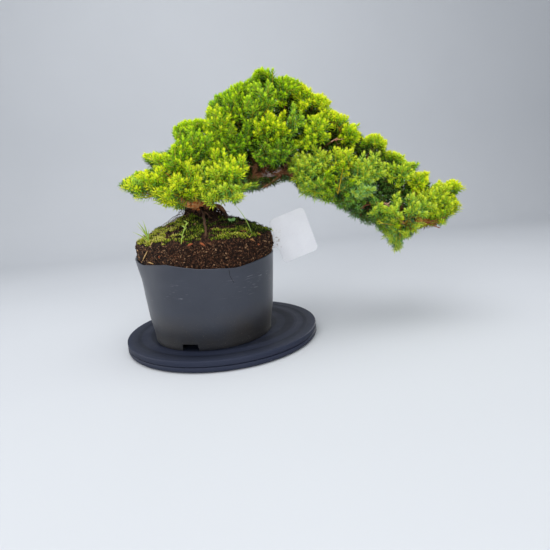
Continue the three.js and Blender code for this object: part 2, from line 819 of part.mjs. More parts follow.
// Places of a shoot's rings along it. Each tuft of needles has a ring before and after it.
function shootPlaces(shoot) {
  const leafy = shoot.length * (1 - shoot.bare);
  const tufts = Math.max(1, Math.round(leafy / NEEDLE_TUFT.spacing));
  const half = NEEDLE_TUFT.length / 2;
  const places = [0];
  for (let i = 0; i < tufts; i += 1) {
    const middle = shoot.length * shoot.bare + (leafy * (i + 0.75)) / tufts;
    places.push((middle - half) / shoot.length, (middle + half) / shoot.length);
  }
  return places;
}

// A three-sided shoot. Every second stretch of its skin is short, and its faces are drawn out into needles.
function needledShoot(shoot, canGrow, draw) {
  const sides = NEEDLE_TUFT.sides;
  const places = shootPlaces(shoot);
  const rings = places.map((place, i) => {
    const centre = shoot.curve.getPointAt(place);
    const along = shoot.curve.getTangentAt(place);
    const normal = new THREE.Vector3(along.y, -along.x, 0.001).normalize();
    const binormal = new THREE.Vector3().crossVectors(along, normal).normalize();
    const radius = THREE.MathUtils.lerp(shoot.startRadius, shoot.endRadius, place);
    return ringAbout(centre, normal, binormal, radius, sides, (i * Math.PI) / sides + 0.4);
  });
  const corners = [...rings[0].slice().reverse()];
  rings.slice(1).forEach((ring, row) => {
    const below = rings[row];
    const leafy = row % 2 === 1;
    for (let k = 0; k < sides; k += 1) {
      const next = (k + 1) % sides;
      const faces = [
        [below[k], below[next], ring[k], NEEDLE.lowLean],
        [below[next], ring[next], ring[k], NEEDLE.highLean],
      ];
      for (const [p, q, s, lean] of faces) {
        const apex = leafy ? needleApex(shoot, places[row], [p, q, s], lean, canGrow, draw) : null;
        if (apex) corners.push(p, q, apex, q, s, apex, s, p, apex);
        else corners.push(p, q, s);
      }
    }
  });
  const last = rings[rings.length - 1];
  const tip = shoot.curve.getPoint(1).addScaledVector(shoot.curve.getTangent(1), STEM.point);
  for (let k = 0; k < sides; k += 1) corners.push(last[k], last[(k + 1) % sides], tip);
  return toSolid(fromTriangles(corners));
}

// The point of a needle over one face of the shoot, or null where there is no room for it
function needleApex(shoot, place, face, lean, canGrow, draw) {
  const root = ringMiddle(face);
  const along = shoot.curve.getTangentAt(place);
  const outwards = root.clone().sub(shoot.curve.getPointAt(place)).projectOnPlane(along).normalize();
  const slant = lean + 0.25 * (draw() - 0.5);
  const way = outwards.multiplyScalar(Math.sin(slant)).addScaledVector(along, Math.cos(slant));
  const full = NEEDLE.length * (0.9 + 0.2 * draw());
  for (const part of NEEDLE_TRIES) {
    const apex = root.clone().addScaledVector(way, full * part);
    if (canGrow(root, apex, shoot)) return apex;
  }
  return null;
}

// Needles keep clear of each other, of the other shoots and of the wood
function needleKeeper(placed) {
  const cell = 12;
  const cells = new Map();
  const keyOf = (p) => [p.x, p.y, p.z].map((v) => Math.floor(v / cell)).join();
  const near = (p) => {
    const found = [];
    for (let i = -1; i <= 1; i += 1) {
      for (let j = -1; j <= 1; j += 1) {
        for (let k = -1; k <= 1; k += 1) {
          const key = keyOf(new THREE.Vector3(p.x + i * cell, p.y + j * cell, p.z + k * cell));
          found.push(...(cells.get(key) ?? []));
        }
      }
    }
    return found;
  };
  return (root, apex, shoot) => {
    const body = root.clone().lerp(apex, 0.3);
    for (const other of placed) {
      if (other === shoot) continue;
      for (let j = 0; j < other.path.length - 1; j += 1) {
        if (stretchDistance(body, apex, other.path[j], other.path[j + 1]) < NEEDLE.stemClear) return false;
      }
    }
    for (const wood of woodStretches) {
      if (stretchDistance(body, apex, wood.a, wood.b) < wood.radius + NEEDLE.woodClear) return false;
    }
    const foreign = near(apex).filter((needle) => needle.shoot !== shoot);
    const touches = (needle) => stretchDistance(root, apex, needle.root, needle.apex) < NEEDLE.clear;
    if (foreign.some(touches)) return false;
    const key = keyOf(apex);
    cells.set(key, [...(cells.get(key) ?? []), { root: root.clone(), apex: apex.clone(), shoot }]);
    return true;
  };
}

function foliage(woodRoom) {
  const { sprays, placed } = growShoots();
  const canGrow = needleKeeper(placed);
  return sprays.map(({ name, stems, sides, draw }) => {
    const shoots = [...stems, ...sides].map((shoot) => needledShoot(shoot, canGrow, draw));
    const spray = largestBody(union(shoots).subtract(woodRoom));
    return namedMesh(`spray_${name}`, toGeometry(spray), COLOURS.foliage);
  });
}

// Label: a rounded head, hollow shoulders and a pointed stem
function labelPlate(grow) {
  const half = LABEL.width / 2 + grow;
  const neck = LABEL_STEM.width / 2 + grow;
  const end = LABEL_STEM.length + grow;
  const outline = new THREE.Shape();
  outline.moveTo(-end, 0);
  outline.lineTo(LABEL_STEM.point - end, -neck);
  outline.lineTo(-LABEL_STEM.shoulder, -neck);
  outline.quadraticCurveTo(0, -neck, 0, -neck - LABEL_STEM.shoulder);
  outline.lineTo(0, LABEL.corner - half);
  outline.absarc(LABEL.corner, LABEL.corner - half, LABEL.corner, Math.PI, 1.5 * Math.PI);
  outline.absarc(LABEL.head - LABEL.corner, LABEL.corner - half, LABEL.corner, 1.5 * Math.PI, 2 * Math.PI);
  outline.absarc(LABEL.head - LABEL.corner, half - LABEL.corner, LABEL.corner, 0, 0.5 * Math.PI);
  outline.absarc(LABEL.corner, half - LABEL.corner, LABEL.corner, 0.5 * Math.PI, Math.PI);
  outline.lineTo(0, neck + LABEL_STEM.shoulder);
  outline.quadraticCurveTo(0, neck, -LABEL_STEM.shoulder, neck);
  outline.lineTo(LABEL_STEM.point - end, neck);
  const depth = LABEL.thick + 2 * grow;
  const plate = new THREE.ExtrudeGeometry(outline, { depth, bevelEnabled: false, curveSegments: 2 });
  plate.translate(0, 0, -depth / 2);
  plate.rotateX(Math.PI / 2);
  plate.rotateY(-THREE.MathUtils.degToRad(LABEL.tilt));
  plate.translate(LABEL.x, LABEL.y, LABEL.z);
  return plate;
}

// Profile of a plain round column
const rectangle = (radius, low, top) => [
  [0, low],
  [radius, low],
  [radius, top],
  [0, top],
];

// Flat-sided leaf blade along a quadratic curve, pointed at its tip
function bladeSolid(start, bend, end, width) {
  const curve = new THREE.QuadraticBezierCurve3(start, bend, end);
  const steps = 3;
  const rings = [];
  for (let i = 0; i < steps; i += 1) {
    const place = i / steps;
    const along = curve.getTangent(place);
    const across = new THREE.Vector3(0, 1, 0).cross(along).normalize();
    const out = new THREE.Vector3().crossVectors(along, across).normalize();
    const half = (width / 2) * (1 - 0.55 * place);
    const centre = curve.getPoint(place);
    rings.push([
      centre.clone().addScaledVector(across, half),
      centre.clone().addScaledVector(out, BLADE_THICKNESS / 2),
      centre.clone().addScaledVector(across, -half),
      centre.clone().addScaledVector(out, -BLADE_THICKNESS / 2),
    ]);
  }
  return toSolid(skinRings(rings, ringMiddle(rings[0]), end));
}

// Weeds stand on short round plugs of root in plain holes. With grow it is the hole, open at its top.
function plug({ x, y }, grow = 0) {
  const radius = PLUG.radius + grow;
  const low = moundHeight(x, y) - PLUG.depth - grow;
  const top = moundHeight(x, y) + (grow > 0 ? PLUG.holeTop : PLUG.top);
  const column = turned(rectangle(radius, low, top), PLUG.sides);
  column.translate(x, y, 0);
  return toSolid(column);
}

// A blade that rises from the ground at a spot, steeply first, and reaches a given way from it
function risingBlade({ x, y, width }, reach) {
  const start = new THREE.Vector3(x, y, moundHeight(x, y) - 1);
  const span = new THREE.Vector3(...reach);
  const bend = start.clone().addScaledVector(span, 0.5);
  bend.x -= span.x * 0.35;
  bend.y -= span.y * 0.35;
  return bladeSolid(start, bend, start.clone().add(span), width);
}

function grass(spot) {
  const blades = spot.blades.map((reach) => risingBlade(spot, reach));
  return union([plug(spot), ...blades]);
}

// A stalk with one round, slightly domed leaf
function seedling(spot) {
  const start = new THREE.Vector3(spot.x, spot.y, moundHeight(spot.x, spot.y) - 1);
  const middle = start.clone().add(new THREE.Vector3(...spot.reach));
  const stalkEnd = middle.clone().setZ(middle.z + 2);
  const stalk = bladeSolid(start, start.clone().lerp(middle, 0.5), stalkEnd, spot.width);
  const leaf = turned(spot.leafProfile, 10);
  leaf.rotateX(Math.PI / 3);
  leaf.translate(middle.x, middle.y, middle.z);
  return union([plug(spot), stalk, toSolid(leaf)]);
}

const potFloor = DISC.top + GAP;
const woodRoom = woodwork(GAP);
let soil = rootBall(potFloor).subtract(woodRoom).subtract(toSolid(labelPlate(GAP)));
for (const spot of [TUFT, LONG_BLADE, SEEDLING]) soil = soil.subtract(plug(spot, GAP));

const bonsai = new THREE.Group();
bonsai.name = "bonsai";
bonsai.add(
  namedMesh("turntable_base", turntableBase(), COLOURS.plastic),
  namedMesh("turntable_ring", turntableRing(), COLOURS.glide),
  namedMesh("turntable_pivot", turntablePin(), COLOURS.steel),
  namedMesh("turntable_top", turntableTop(), COLOURS.plastic),
  namedMesh("pot", toGeometry(pot(potFloor)), COLOURS.pot),
  namedMesh("soil", toGeometry(largestBody(soil)), COLOURS.soil),
  namedMesh("trunk", toGeometry(woodwork(0)), COLOURS.wood),
  namedMesh("label", labelPlate(0), COLOURS.label),
  namedMesh("grass_tuft", toGeometry(grass(TUFT)), COLOURS.grass),
  namedMesh("grass_blade", toGeometry(grass(LONG_BLADE)), COLOURS.grass),
  namedMesh("seedling_leaf", toGeometry(seedling(SEEDLING)), COLOURS.grass),
  ...foliage(woodRoom),
);

export default bonsai;
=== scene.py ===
# Looks of a garden juniper bonsai in a cut-down nursery pot, on a round turntable.
# Tables are in millimetres in the part's own frame (+Z up, origin under the middle of the turntable).
import math
import random

import bmesh
import bpy
import numpy as np
from mathutils import Matrix, Vector, noise
from mathutils.bvhtree import BVHTree
from mathutils.kdtree import KDTree


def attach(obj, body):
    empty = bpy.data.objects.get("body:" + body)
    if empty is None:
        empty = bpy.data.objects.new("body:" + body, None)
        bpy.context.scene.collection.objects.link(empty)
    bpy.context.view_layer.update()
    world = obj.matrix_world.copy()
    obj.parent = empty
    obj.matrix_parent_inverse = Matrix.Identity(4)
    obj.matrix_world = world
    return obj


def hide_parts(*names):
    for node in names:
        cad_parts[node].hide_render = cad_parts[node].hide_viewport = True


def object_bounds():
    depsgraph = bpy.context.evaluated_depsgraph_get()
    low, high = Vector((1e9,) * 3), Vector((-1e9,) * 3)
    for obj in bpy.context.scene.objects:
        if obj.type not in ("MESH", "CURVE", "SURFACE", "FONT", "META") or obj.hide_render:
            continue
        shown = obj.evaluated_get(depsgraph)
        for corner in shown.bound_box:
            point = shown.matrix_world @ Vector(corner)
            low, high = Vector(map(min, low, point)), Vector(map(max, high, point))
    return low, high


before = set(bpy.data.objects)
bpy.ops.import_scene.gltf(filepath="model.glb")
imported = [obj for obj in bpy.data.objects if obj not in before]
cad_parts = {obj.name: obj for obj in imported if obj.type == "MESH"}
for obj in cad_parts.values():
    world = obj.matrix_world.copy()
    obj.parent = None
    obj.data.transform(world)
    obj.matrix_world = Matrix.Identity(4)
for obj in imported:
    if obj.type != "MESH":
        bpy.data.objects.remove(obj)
cad_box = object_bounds()

MM = 0.001
SEED = 27
TOP = "turning_top"
FOOT = "turntable_foot"

# Camera: it looks along +Y, turned a little to the right and down, and leans a little
CAMERA = {"x": 0, "y": -530, "z": 179.6, "yaw": -8.1, "pitch": 10.98, "roll": -4.35, "lens": 26.16}
PHOTO_SIDE = 550
SENSOR = 36

# Stage in metres: half its width, how far back, how high, and the radius of its curve
STAGE = {"side": 3.0, "back": 1.5, "height": 2.5, "curve": 0.5}
# Lights in metres: name, place, what it is aimed at, size, power in watts, whether it only adds gloss
LIGHTS = [
    ("top", (-0.1, -0.3, 1.7), (0.08, 0, 0.15), (1.8, 1.8), 26, False),
    ("key", (-0.8, -1.3, 1.0), (0.05, 0, 0.15), (0.9, 0.9), 9.5, False),
    ("front", (0.4, -1.7, 0.5), (0.08, 0, 0.18), (1.6, 0.9), 11, False),
    ("left_edge", (-1.1, 0.1, 0.35), (-0.02, 0, 0.08), (0.4, 0.5), 11, True),
    ("right_edge", (0.8, 0.8, 0.35), (-0.02, 0, 0.08), (0.25, 0.5), 8, True),
]
SKY = {"colour": (0.8, 0.84, 0.9, 1), "strength": 0.46}

# Turntable discs, as in the solid part
DISC_SIDES = 180
DISC = {"radius": 125, "base_top": 7.2, "top_under": 7.8, "top": 14.5}
GLIDE = {"inner": 68.3, "outer": 81.7, "under": 4.3, "top": 9.4, "room": 1.3}
PIN = {"radius": 4.8, "under": 2.9, "head": 11, "head_under": 12}
# Room between neighbouring solids
GAP = 0.3
# Bands of the moulded top repeat every 24 mm or so
BAND_WAVE = 262
# Where the turntable's outer edge starts to be painted paler as a painted highlight, and where it is palest,
# as radii in metres
PAINTED_EDGE_HIGHLIGHT = (0.108, 0.124)

# Pot
POT = {
    "x": -12, "y": -19, "floor": 14.8, "wall": 1.5, "foot_wall": 1.8, "floor_under": 10, "floor_top": 12,
    "round_edge": 0.3,
}
POT_SIDES = 240
POT_WALL = [
    (0, 73.8), (9, 74.5), (14, 75.2), (18, 76), (22, 76.8), (26, 77.5), (31, 78.2), (38, 78.9), (60, 80.9),
]
POT_RIM_RADIUS = 83.9
# A hair root stuck to the pot's wall, in pixels of the photograph
POT_ROOT_PX = [(229, 264), (229, 270), (230, 276), (234, 283)]
RIM_CUT = [
    (-180, 105), (-165, 103), (-150, 100.3), (-122, 102), (-98, 96.2), (-68, 92.4),
    (-38, 97), (-10, 99.3), (60, 99.6), (120, 101), (180, 105),
]
BEND = {"bearing": 180, "wide": 24, "out": 3.4, "from": 74}
WALL_WAVE = {"from": 40, "size": 0.7, "count": 3, "turn": 20}
# Drain notches and slots, cut out between two radii from the pot's axis
NOTCH = {
    "bearings": (-112.5, 7.5, 127.5), "width": 21.5, "top_width": 18.5, "height": 8, "inner": 60, "outer": 90,
}
DRAIN_SLOT = {"inner": 50, "outer": 66, "width": 10}

# Root ball
SOIL = {"cliff_radius": 84, "cliff_top": 134, "edge": 138, "rise": 25, "steepness": 1.7, "smooth_below": 114}
SOIL_SIDES = 260

# Where the wood is dark, orange or bleached, by height and by place from left to right
WOOD_TONES = {
    "dark_top": (165, 170), "dark_left_of": 30, "orange_right_of": 150, "bleached_above": 205,
    "bleached_from": (64, 70), "bleached_to": (86, 92),
}
# How finely the skin of the wood is built
WOOD_VOXEL = 1.25
# Wood: each branch is a list of x, y, z, radius
STUMP = [
    (-18, -19, 150, 14), (-18, -19, 161, 15), (-17, -19, 168, 12.5), (-15, -18, 176, 9), (-14, -18, 180, 5),
]
WOOD = {
    "leader": [
        (-16, -19, 168, 8), (-11, -18, 177, 8.5), (-2, -16, 185, 8), (12, -13, 190, 7.4), (32, -12, 197, 7),
        (52, -14, 203, 6.5), (70, -17, 209, 6), (90, -19, 211, 5.6), (108, -20, 207, 5.2),
        (128, -20, 203, 4.8), (150, -20, 190, 4.4), (166, -20, 181, 4.2), (186, -20, 171, 3.8),
        (206, -20, 163, 3.5), (230, -21, 158, 3.1), (262, -20, 146, 2.5), (290, -20, 138, 2),
        (304, -22, 136, 1.5),
    ],
    "limb": [
        (-12, -20, 178, 7), (-20, -32, 179, 6), (-28, -44, 180, 4.8), (-34, -54, 185, 3.4),
        (-40, -60, 192, 2.2),
    ],
    "limb_rise": [(-27, -43, 180, 3.4), (-27, -47, 192, 2.8), (-30, -51, 203, 2.2), (-34, -53, 212, 1.7)],
    "front": [(2, -17, 186, 4.5), (10, -36, 189, 3.2), (20, -52, 191, 2.5), (28, -62, 194, 1.8)],
    "mid": [
        (20, -13, 193, 4.5), (18, -12, 212, 3.4), (8, -12, 230, 2.8), (-6, -14, 246, 2.2),
        (-14, -16, 255, 1.7),
    ],
    "rise_1": [
        (54, -15, 204, 4.6), (59, -22, 222, 3.6), (55, -22, 242, 2.9), (47, -20, 262, 2.2),
        (40, -18, 278, 1.7),
    ],
    "rise_2": [
        (96, -20, 209, 4.6), (101, -17, 232, 3.7), (101, -15, 256, 3), (98, -15, 280, 2.3),
        (92, -17, 298, 1.7),
    ],
    "rise_3": [
        (136, -20, 199, 4), (142, -18, 220, 3.2), (141, -16, 244, 2.6), (137, -16, 266, 2),
        (135, -16, 282, 1.6),
    ],
    "rise_4": [(158, -20, 186, 3.6), (165, -22, 208, 2.9), (168, -22, 232, 2.2), (172, -20, 250, 1.6)],
    "rise_5": [(186, -20, 171, 3.3), (196, -16, 190, 2.7), (204, -14, 212, 2.1), (209, -14, 228, 1.6)],
    "rise_6": [(222, -21, 160, 3), (232, -18, 178, 2.5), (239, -16, 194, 2), (246, -16, 206, 1.5)],
    "rise_7": [(256, -20, 148, 2.5), (267, -20, 163, 2.1), (275, -20, 178, 1.5)],
    "rise_8": [(290, -20, 138, 2.1), (303, -20, 150, 1.8), (313, -20, 161, 1.4)],
    "drop": [(226, -21, 159, 2.8), (230, -32, 150, 2.4), (235, -42, 141, 2), (240, -48, 134, 1.5)],
    "back_left": [(-13, -16, 178, 5), (-24, -2, 184, 3.6), (-35, 10, 193, 2.6), (-43, 18, 202, 1.7)],
    "back_1": [(38, -12, 199, 4), (37, 4, 212, 3), (30, 18, 228, 2.2), (22, 26, 242, 1.6)],
    "back_2": [(101, -16, 240, 3), (98, 2, 252, 2.4), (92, 18, 264, 1.7)],
    "back_3": [(128, -20, 203, 4), (132, -4, 212, 2.9), (137, 12, 224, 1.8)],
    "back_4": [(186, -20, 171, 3.4), (191, -6, 180, 2.5), (196, 8, 190, 1.7)],
    "back_5": [(240, -20, 154, 2.8), (247, -8, 160, 2.1), (254, 5, 166, 1.5)],
}
DEAD_TWIGS = {
    "dead_left": [(92, -20, 208, 2.2), (78, -27, 199, 1.6), (62, -29, 192, 0.9)],
    "dead_right": [(262, -21, 145, 1.8), (284, -26, 130, 1.3), (302, -28, 122, 0.9)],
}
WOOD_ROOT_ARCH = [
    (-12, -22, 171, 4.5), (0, -26, 175, 3), (10, -28, 173, 2.6), (16, -29, 163, 2.3), (19, -30, 149, 2),
]
ROOTS = {
    "root_arch": WOOD_ROOT_ARCH,
    "root_left": [(-24, -22, 167, 4.5), (-38, -27, 161, 3), (-52, -32, 152, 2)],
    "root_front": [(-20, -26, 166, 5), (-24, -40, 160, 3), (-27, -54, 151, 2)],
    "root_right": [(-8, -16, 168, 5), (8, -10, 162, 3.2), (24, -4, 152, 2)],
    "root_back": [(-20, -12, 167, 5), (-28, 4, 160, 3), (-34, 18, 149, 2)],
}

# Foliage: name, branch, share of its length, freshness, blueness, tips
SPRAYS = [
    ("left_tip", "limb", 1, 1, 0, [(-98, -58, 203), (-83, -68, 190)]),
    ("left_upper", "limb", 0.9, 1, 0, [(-79, -54, 214), (-62, -70, 210)]),
    ("left_lower", "limb", 0.7, 1, 0, [(-59, -66, 184), (-45, -60, 177)]),
    ("left_front", "limb", 0.45, 1, 0.05, [(-23, -82, 207), (-49, -80, 198)]),
    ("left_spike", "limb_rise", 1, 0.92, 0, [(-69, -56, 238), (-47, -50, 239)]),
    ("left_crown", "limb_rise", 0.8, 0.7, 0, [(-27, -60, 239), (-37, -72, 225)]),
    ("left_back", "limb_rise", 0.55, 0.64, 0.05, [(-16, -46, 250), (-3, -58, 249)]),
    ("front_upper", "front", 1, 0.95, 0.05, [(12, -76, 217), (37, -76, 214)]),
    ("front_lower", "front", 0.75, 1, 0.3, [(34, -72, 179), (15, -84, 181)]),
    ("front_low_left", "front", 0.4, 1, 0.2, [(-3, -82, 202), (-1, -74, 173)]),
    ("front_rise", "front", 0.25, 0.8, 0.1, [(14, -56, 235), (1, -66, 225)]),
    ("mid_left", "mid", 1, 0.7, 0, [(-39, -18, 248), (-34, -24, 270)]),
    ("mid_top", "mid", 0.8, 0.72, 0, [(-2, -16, 280), (-15, -34, 274)]),
    ("mid_right", "mid", 0.5, 0.86, 0.05, [(22, -46, 271), (10, -30, 263)]),
    ("centre_low", "mid", 0.25, 0.55, 0.05, [(43, -52, 253), (32, -58, 236)]),
    ("dome_left", "rise_1", 1, 0.56, 0.1, [(8, -22, 294), (21, -8, 307)]),
    ("dome_front_left", "rise_1", 0.75, 0.66, 0, [(28, -46, 285), (43, -38, 297)]),
    ("dome_upper_left", "rise_1", 0.9, 0.64, 0, [(41, -28, 314), (59, -14, 322)]),
    ("dome_face", "rise_1", 0.5, 0.66, 0.1, [(58, -52, 288), (72, -44, 304)]),
    ("dome_peak", "rise_2", 1, 0.69, 0, [(75, -20, 334), (88, -26, 331)]),
    ("dome_shoulder", "rise_2", 0.85, 0.66, 0, [(105, -24, 323), (92, -46, 298), (118, -30, 316)]),
    ("centre_face", "rise_2", 0.35, 0.92, 0, [(60, -60, 262), (76, -60, 265)]),
    ("centre_right", "rise_2", 0.45, 0.66, 0.2, [(84, -56, 254), (105, -50, 268)]),
    ("centre_foot", "rise_2", 0.15, 0.55, 0.1, [(60, -58, 234), (89, -58, 232)]),
    ("right_dome", "rise_3", 1, 1, 0, [(134, -20, 309), (115, -36, 288)]),
    ("right_shoulder", "rise_3", 0.85, 1, 0, [(151, -16, 303), (157, -32, 289)]),
    ("right_face", "rise_3", 0.45, 0.85, 0.05, [(128, -56, 255), (110, -52, 240)]),
    ("low_left", "rise_3", 0.12, 1, 0.3, [(101, -50, 206), (128, -60, 219)]),
    ("crest", "rise_4", 1, 1, 0, [(152, -38, 277), (183, -16, 274)]),
    ("crest_right", "rise_4", 0.8, 0.85, 0, [(196, -20, 264), (178, -40, 244)]),
    ("low_mid", "rise_4", 0.25, 1, 0.1, [(149, -60, 214), (170, -60, 213)]),
    ("slope", "rise_5", 1, 0.95, 0.05, [(213, -16, 251), (231, -24, 241)]),
    ("slope_front", "rise_5", 0.45, 0.95, 0.35, [(171, -64, 195), (203, -52, 203)]),
    ("slope_right", "rise_6", 1, 0.9, 0.1, [(242, -18, 228), (253, -28, 221)]),
    ("slope_low", "rise_6", 0.6, 0.85, 0.2, [(278, -18, 210), (237, -44, 194)]),
    ("end_crest", "rise_7", 1, 1, 0, [(289, -24, 198), (265, -40, 184)]),
    ("end_tip", "rise_8", 1, 1, 0, [(303, -22, 187), (333, -20, 184), (341, -24, 173)]),
    ("end_front", "rise_8", 0.4, 1, 0.15, [(269, -52, 166), (305, -44, 158)]),
    ("end_low", "leader", 1, 0.95, 0.05, [(334, -26, 146), (301, -36, 128)]),
    ("skirt_front", "drop", 0.5, 0.95, 0.3, [(198, -58, 159), (213, -66, 151)]),
    ("skirt_mid", "drop", 1, 0.95, 0.35, [(255, -62, 158), (254, -56, 120)]),
    ("skirt_tip", "drop", 0.8, 1, 0.6, [(236, -40, 98), (216, -42, 121)]),
    ("under", "leader", 0.68, 0.5, 0.3, [(170, -32, 159), (200, -32, 137)]),
    ("rear_left", "back_left", 1, 0.85, 0.05, [(-70, 22, 206), (-48, 34, 216), (-30, 26, 226)]),
    ("rear_mid", "back_1", 1, 0.8, 0.05, [(2, 34, 262), (34, 40, 262), (24, 22, 286)]),
    ("rear_dome", "back_2", 1, 0.8, 0.05, [(80, 26, 300), (104, 34, 286), (70, 36, 264)]),
    ("rear_low", "back_3", 1, 0.6, 0.3, [(126, 34, 244), (156, 30, 240), (148, 24, 266)]),
    ("rear_slope", "back_4", 1, 0.8, 0.1, [(190, 28, 216), (218, 22, 208), (206, 30, 184)]),
    ("rear_end", "back_5", 1, 0.85, 0.05, [(258, 22, 190), (284, 16, 174), (268, 24, 154)]),
]

# More tips of those sprays along the lower edge of the foliage: spray, photo pixel, depth, freshness,
# blueness
EDGE_TIPS_PX = [
    ("left_tip", (137, 195), -62, 0.7, 0.4), ("left_lower", (150, 191), -66, 0.9, 0.2),
    ("left_lower", (164, 203), -62, 0.85, 0.2), ("left_front", (180, 209), -62, 0.75, 0.5),
    ("front_low_left", (205, 204), -74, 0.9, 0.4), ("front_lower", (232, 200), -74, 0.85, 0.5),
    ("front_lower", (243, 196), -66, 0.9, 0.4), ("low_left", (302, 191), -50, 0.9, 0.4),
    ("low_left", (315, 196), -50, 0.75, 0.3), ("low_mid", (324, 198), -48, 0.7, 0.1),
    ("low_mid", (333, 203), -46, 0.6, 0.2), ("low_mid", (345, 207), -44, 0.5, 0.4),
    ("slope_front", (352, 193), -62, 0.95, 0.8), ("slope_front", (360, 199), -60, 0.9, 0.8),
    ("slope_front", (360, 214), -42, 0.4, 0.5), ("skirt_front", (372, 221), -42, 0.4, 0.4),
    ("skirt_front", (382, 228), -44, 0.7, 0.3), ("skirt_tip", (389, 238), -44, 0.95, 0.6),
    ("skirt_mid", (405, 236), -46, 1, 0.1), ("skirt_tip", (397, 249), -38, 1, 0.4),
    ("end_low", (428, 224), -36, 0.8, 0.1), ("end_low", (445, 214), -34, 1, 0),
    ("end_tip", (458, 204), -28, 1, 0),
]

# Single sprigs that stick out of its lower edge: photo pixel, depth, freshness; and the room each needs
SPRIGS_PX = [
    (137, 196, -60, 0.8), (144, 192, -58, 0.7), (156, 200, -60, 0.9), (166, 206, -60, 0.8),
    (176, 208, -58, 0.7), (222, 202, -70, 0.9), (234, 202, -70, 1), (243, 197, -64, 1),
    (252, 190, -34, 0.6), (262, 188, -30, 0.6), (274, 184, -28, 0.7), (284, 181, -28, 0.6),
    (302, 194, -46, 0.9), (307, 195, -46, 0.8), (315, 199, -46, 0.8), (322, 200, -44, 0.9),
    (327, 201, -46, 0.8), (339, 207, -44, 0.8), (345, 210, -42, 0.6), (351, 215, -42, 0.6),
    (355, 217, -42, 0.6), (363, 221, -40, 0.5), (369, 223, -40, 0.5), (378, 229, -42, 0.8),
    (384, 237, -42, 1), (390, 243, -42, 1), (395, 250, -40, 1), (401, 246, -40, 1), (409, 237, -42, 0.9),
    (452, 214, -32, 0.9), (460, 205, -28, 1),
]
SPRIG_ROOM = 3

# The foliage's outline as seen in the photograph, in its pixels, from the left tip round over the top
OUTLINE_PX = [
    (118, 186), (122, 180), (131, 175), (136, 171), (143, 170), (152, 168), (151, 163), (144, 161),
    (141, 155), (149, 153), (154, 151), (163, 153), (169, 151), (170, 146), (175, 141), (172, 134),
    (172, 127), (180, 122), (184, 119), (192, 119), (198, 118), (205, 119), (205, 113), (209, 100),
    (213, 99), (215, 94), (225, 91), (230, 85), (240, 81), (244, 82), (246, 79), (250, 78), (254, 70),
    (260, 67), (264, 69), (269, 67), (275, 77), (286, 75), (297, 79), (305, 83), (310, 90), (315, 93),
    (324, 93), (331, 100), (329, 108), (335, 110), (341, 113), (347, 115), (350, 123), (356, 122),
    (358, 129), (362, 133), (364, 137), (367, 134), (378, 132), (388, 141), (387, 150), (396, 150),
    (403, 155), (408, 160), (418, 162), (420, 165), (415, 171), (428, 170), (430, 178), (430, 188),
    (433, 184), (438, 179), (443, 182), (452, 178), (461, 181), (464, 188), (456, 196), (460, 202),
    (459, 210), (449, 216), (443, 224), (433, 227), (420, 228), (411, 237), (404, 240), (402, 248),
    (396, 252), (391, 245), (386, 238), (379, 230), (374, 225), (364, 221), (353, 216), (343, 210),
    (333, 204), (318, 199), (300, 193), (294, 183), (287, 181), (279, 183), (268, 187), (258, 190),
    (245, 192), (243, 199), (236, 203), (226, 200), (213, 203), (204, 208), (186, 211), (167, 206),
    (158, 201), (152, 193), (142, 192), (136, 198), (128, 191), (121, 188),
]
# How far in from the lower edge its shoots have long, loose needles, in pixels
LOWER_EDGE = 6
# Round places in the photograph where bare wood shows, so that no shoot hides them: x, y, radius
WOOD_SHOWS_PX = [
    (250, 161, 6), (254, 168, 5), (262, 172, 6), (272, 174, 6), (282, 172, 6), (290, 175, 4), (252, 176, 5),
    (249, 153, 4), (192, 204, 6), (201, 204, 5), (184, 203, 4), (284, 108, 4), (286, 120, 4), (240, 128, 3),
    (310, 150, 4), (386, 203, 4), (334, 139, 4), (339, 195, 4), (365, 208, 4),
]
# Young stems in full view: the photo pixels of both ends, depth, thickness, tone from brown to yellow
SHOWN_STEMS_PX = [
    ((175, 181), (159, 168), -70, 1.0, 0.5), ((176, 181), (178, 169), -68, 0.8, 0.8),
    ((176, 189), (160, 180), -72, 0.8, 0.9), ((197, 202), (186, 195), -72, 0.9, 0.95),
    ((170, 194), (162, 188), -72, 0.7, 0.9), ((338, 194), (344, 164), -60, 1.0, 0.85),
    ((341, 191), (353, 181), -60, 0.7, 0.9), ((440, 205), (444, 198), -34, 0.9, 0.55),
    ((410, 199), (414, 189), -44, 0.8, 0.5), ((381, 223), (398, 226), -64, 0.9, 0.9),
    ((390, 226), (402, 219), -62, 0.7, 0.9), ((280, 103), (274, 96), -44, 0.7, 0.9),
    ((266, 106), (260, 100), -44, 0.7, 0.9), ((322, 184), (328, 172), -58, 0.8, 0.9),
    ((232, 192), (226, 184), -80, 0.7, 0.95),
]
# Round places in the photograph where needles have died: x, y, radius
BROWN_PX = [
    (339, 193, 4), (425, 222, 6), (436, 219, 6), (416, 219, 4), (386, 196, 7), (279, 170, 7), (266, 179, 6),
]

# Gloss of soil, moss, roots and twigs
MATT = 0.15
# Turn from one root, leaflet or side shoot to the next, in radians
GOLDEN_TURN = 2.4

# A mossy collar in front of the stump
COLLAR = {"x": -31, "y": -42, "rise": 6, "reach": 13}
# Grains of peat: how many in all, and how many of them lie on the cliff
CRUMBS = {"all": 5600, "on_cliff": 3900}
# Corners and faces of a grain, and faces of a leaflet of moss
OCTAHEDRON = np.array([(1, 0, 0), (-1, 0, 0), (0, 1, 0), (0, -1, 0), (0, 0, 1), (0, 0, -1)], float)
OCTAHEDRON_FACES = [
    (0, 2, 4), (2, 1, 4), (1, 3, 4), (3, 0, 4), (2, 0, 5), (1, 2, 5), (3, 1, 5), (0, 3, 5),
]
LEAFLET_FACES = [(0, 2, 1), (0, 1, 3), (1, 2, 3), (2, 0, 3)]

